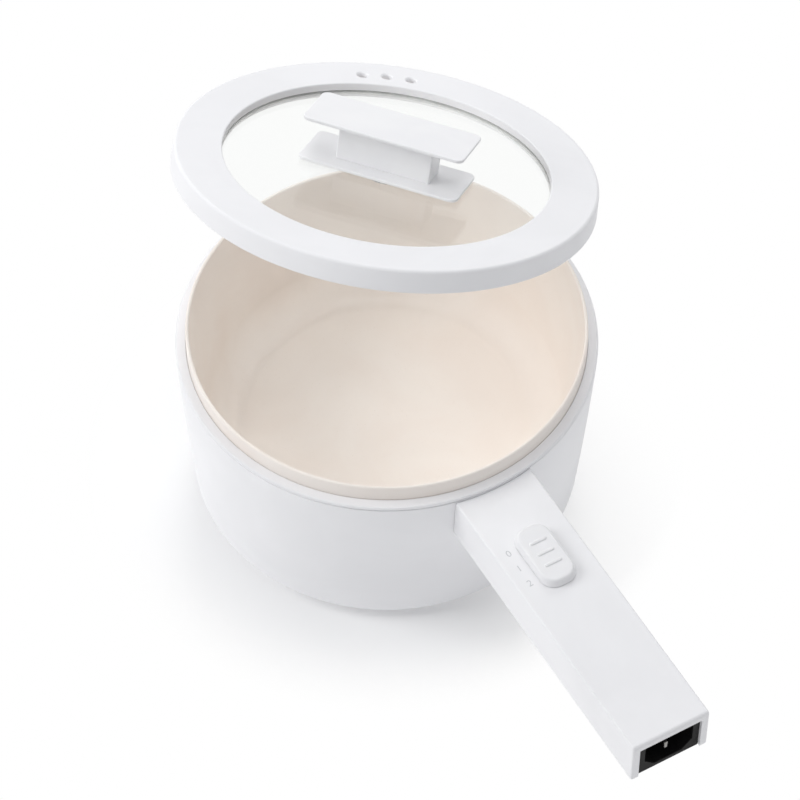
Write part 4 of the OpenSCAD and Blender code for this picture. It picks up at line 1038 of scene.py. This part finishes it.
def makeFloor(half, shade, paintedGlowFades):
    startClean()
    bpy.ops.mesh.primitive_plane_add(size=2 * half, location=(0, 0, 0))
    floor = newest("paleFloor")
    finish, tree, shader = startFinish("palePaper")
    setUp(tree, shader, Base_Color=tone(*shade), Roughness=0.9, Specular_IOR_Level=0.0)
    # painted light: seen straight, in a mirror or through glass, the paper is mixed into a white glow that is
    # full beyond 0.145 m from the pot's axis and nearer in towards the back, so the floor's shadow stays only
    # close to the foot and at the front-left
    spot = place(tree, "ShaderNodeTexCoord", -900, -320).outputs["Object"]
    masks = []
    for i, (middle, inner, outer) in enumerate(paintedGlowFades):
        y = -320 - 220 * i
        reach = place(tree, "ShaderNodeVectorMath", -700, y, spot, middle, operation="DISTANCE")
        fade = place(tree, "ShaderNodeMapRange", -500, y, interpolation_type="SMOOTHSTEP",
                     Value=reach.outputs["Value"], From_Min=inner, From_Max=outer)
        masks.append(fade.outputs[0])
    paintedGlowMask = mathNode(tree, "MAXIMUM", -300, -320, *masks)
    share = mathNode(tree, "MULTIPLY", 60, 300, seenRays(tree, -500, 300), paintedGlowMask)
    # the painted glow: white light that the paper gives off towards the camera, though it is no lamp
    paintedGlow = place(tree, "ShaderNodeEmission", 0, -200)
    both = mixShaders(tree, 300, share, shader.outputs[0], paintedGlow.outputs[0])
    # from below the paper can be seen through, and the lamp down there lights the pot's underside
    sides = place(tree, "ShaderNodeNewGeometry", 300, 300)
    rays = place(tree, "ShaderNodeLightPath", 100, 520)
    passing = mathNode(tree, "MAXIMUM", 420, 420, sides.outputs["Backfacing"], rays.outputs["Is Shadow Ray"])
    clear = place(tree, "ShaderNodeBsdfTransparent", 300, -200)
    either = mixShaders(tree, 520, passing, both, clear.outputs[0])
    setUp(tree, tree.nodes["Material Output"], location=(740, 0), Surface=either)
    floor.data.materials.append(finish)


def makeLight(room, aim, lamps):
    world = bpy.data.worlds.new("studio")
    scene.world = world
    world.use_nodes = True
    tree = world.node_tree
    sky = setUp(tree, tree.nodes["Background"], Color=(*room[:3], 1.0), Strength=room[3])
    white = place(tree, "ShaderNodeBackground", 0, -200, Color=(1, 1, 1, 1), Strength=1.0)
    either = mixShaders(tree, 220, seenRays(tree, -500, 300), sky.outputs[0], white.outputs[0])
    setUp(tree, tree.nodes["World Output"], Surface=either)
    for name, spot, size, power, colour in lamps:
        data = bpy.data.lights.new(name, "AREA")
        data.shape = "DISK"
        data.size = size
        data.energy = power
        data.color = colour
        lamp = bpy.data.objects.new(name, data)
        lamp.visible_glossy = False  # no hard edge of a lamp shows in the glass
        scene.collection.objects.link(lamp)
        turn = (Vector(aim) - Vector(spot)).to_track_quat("-Z", "Y")
        lamp.matrix_world = Matrix.Translation(spot) @ turn.to_matrix().to_4x4()


makeFloor(**stageSize)
makeLight(**lightSize)
startClean()
print("floor and light set")
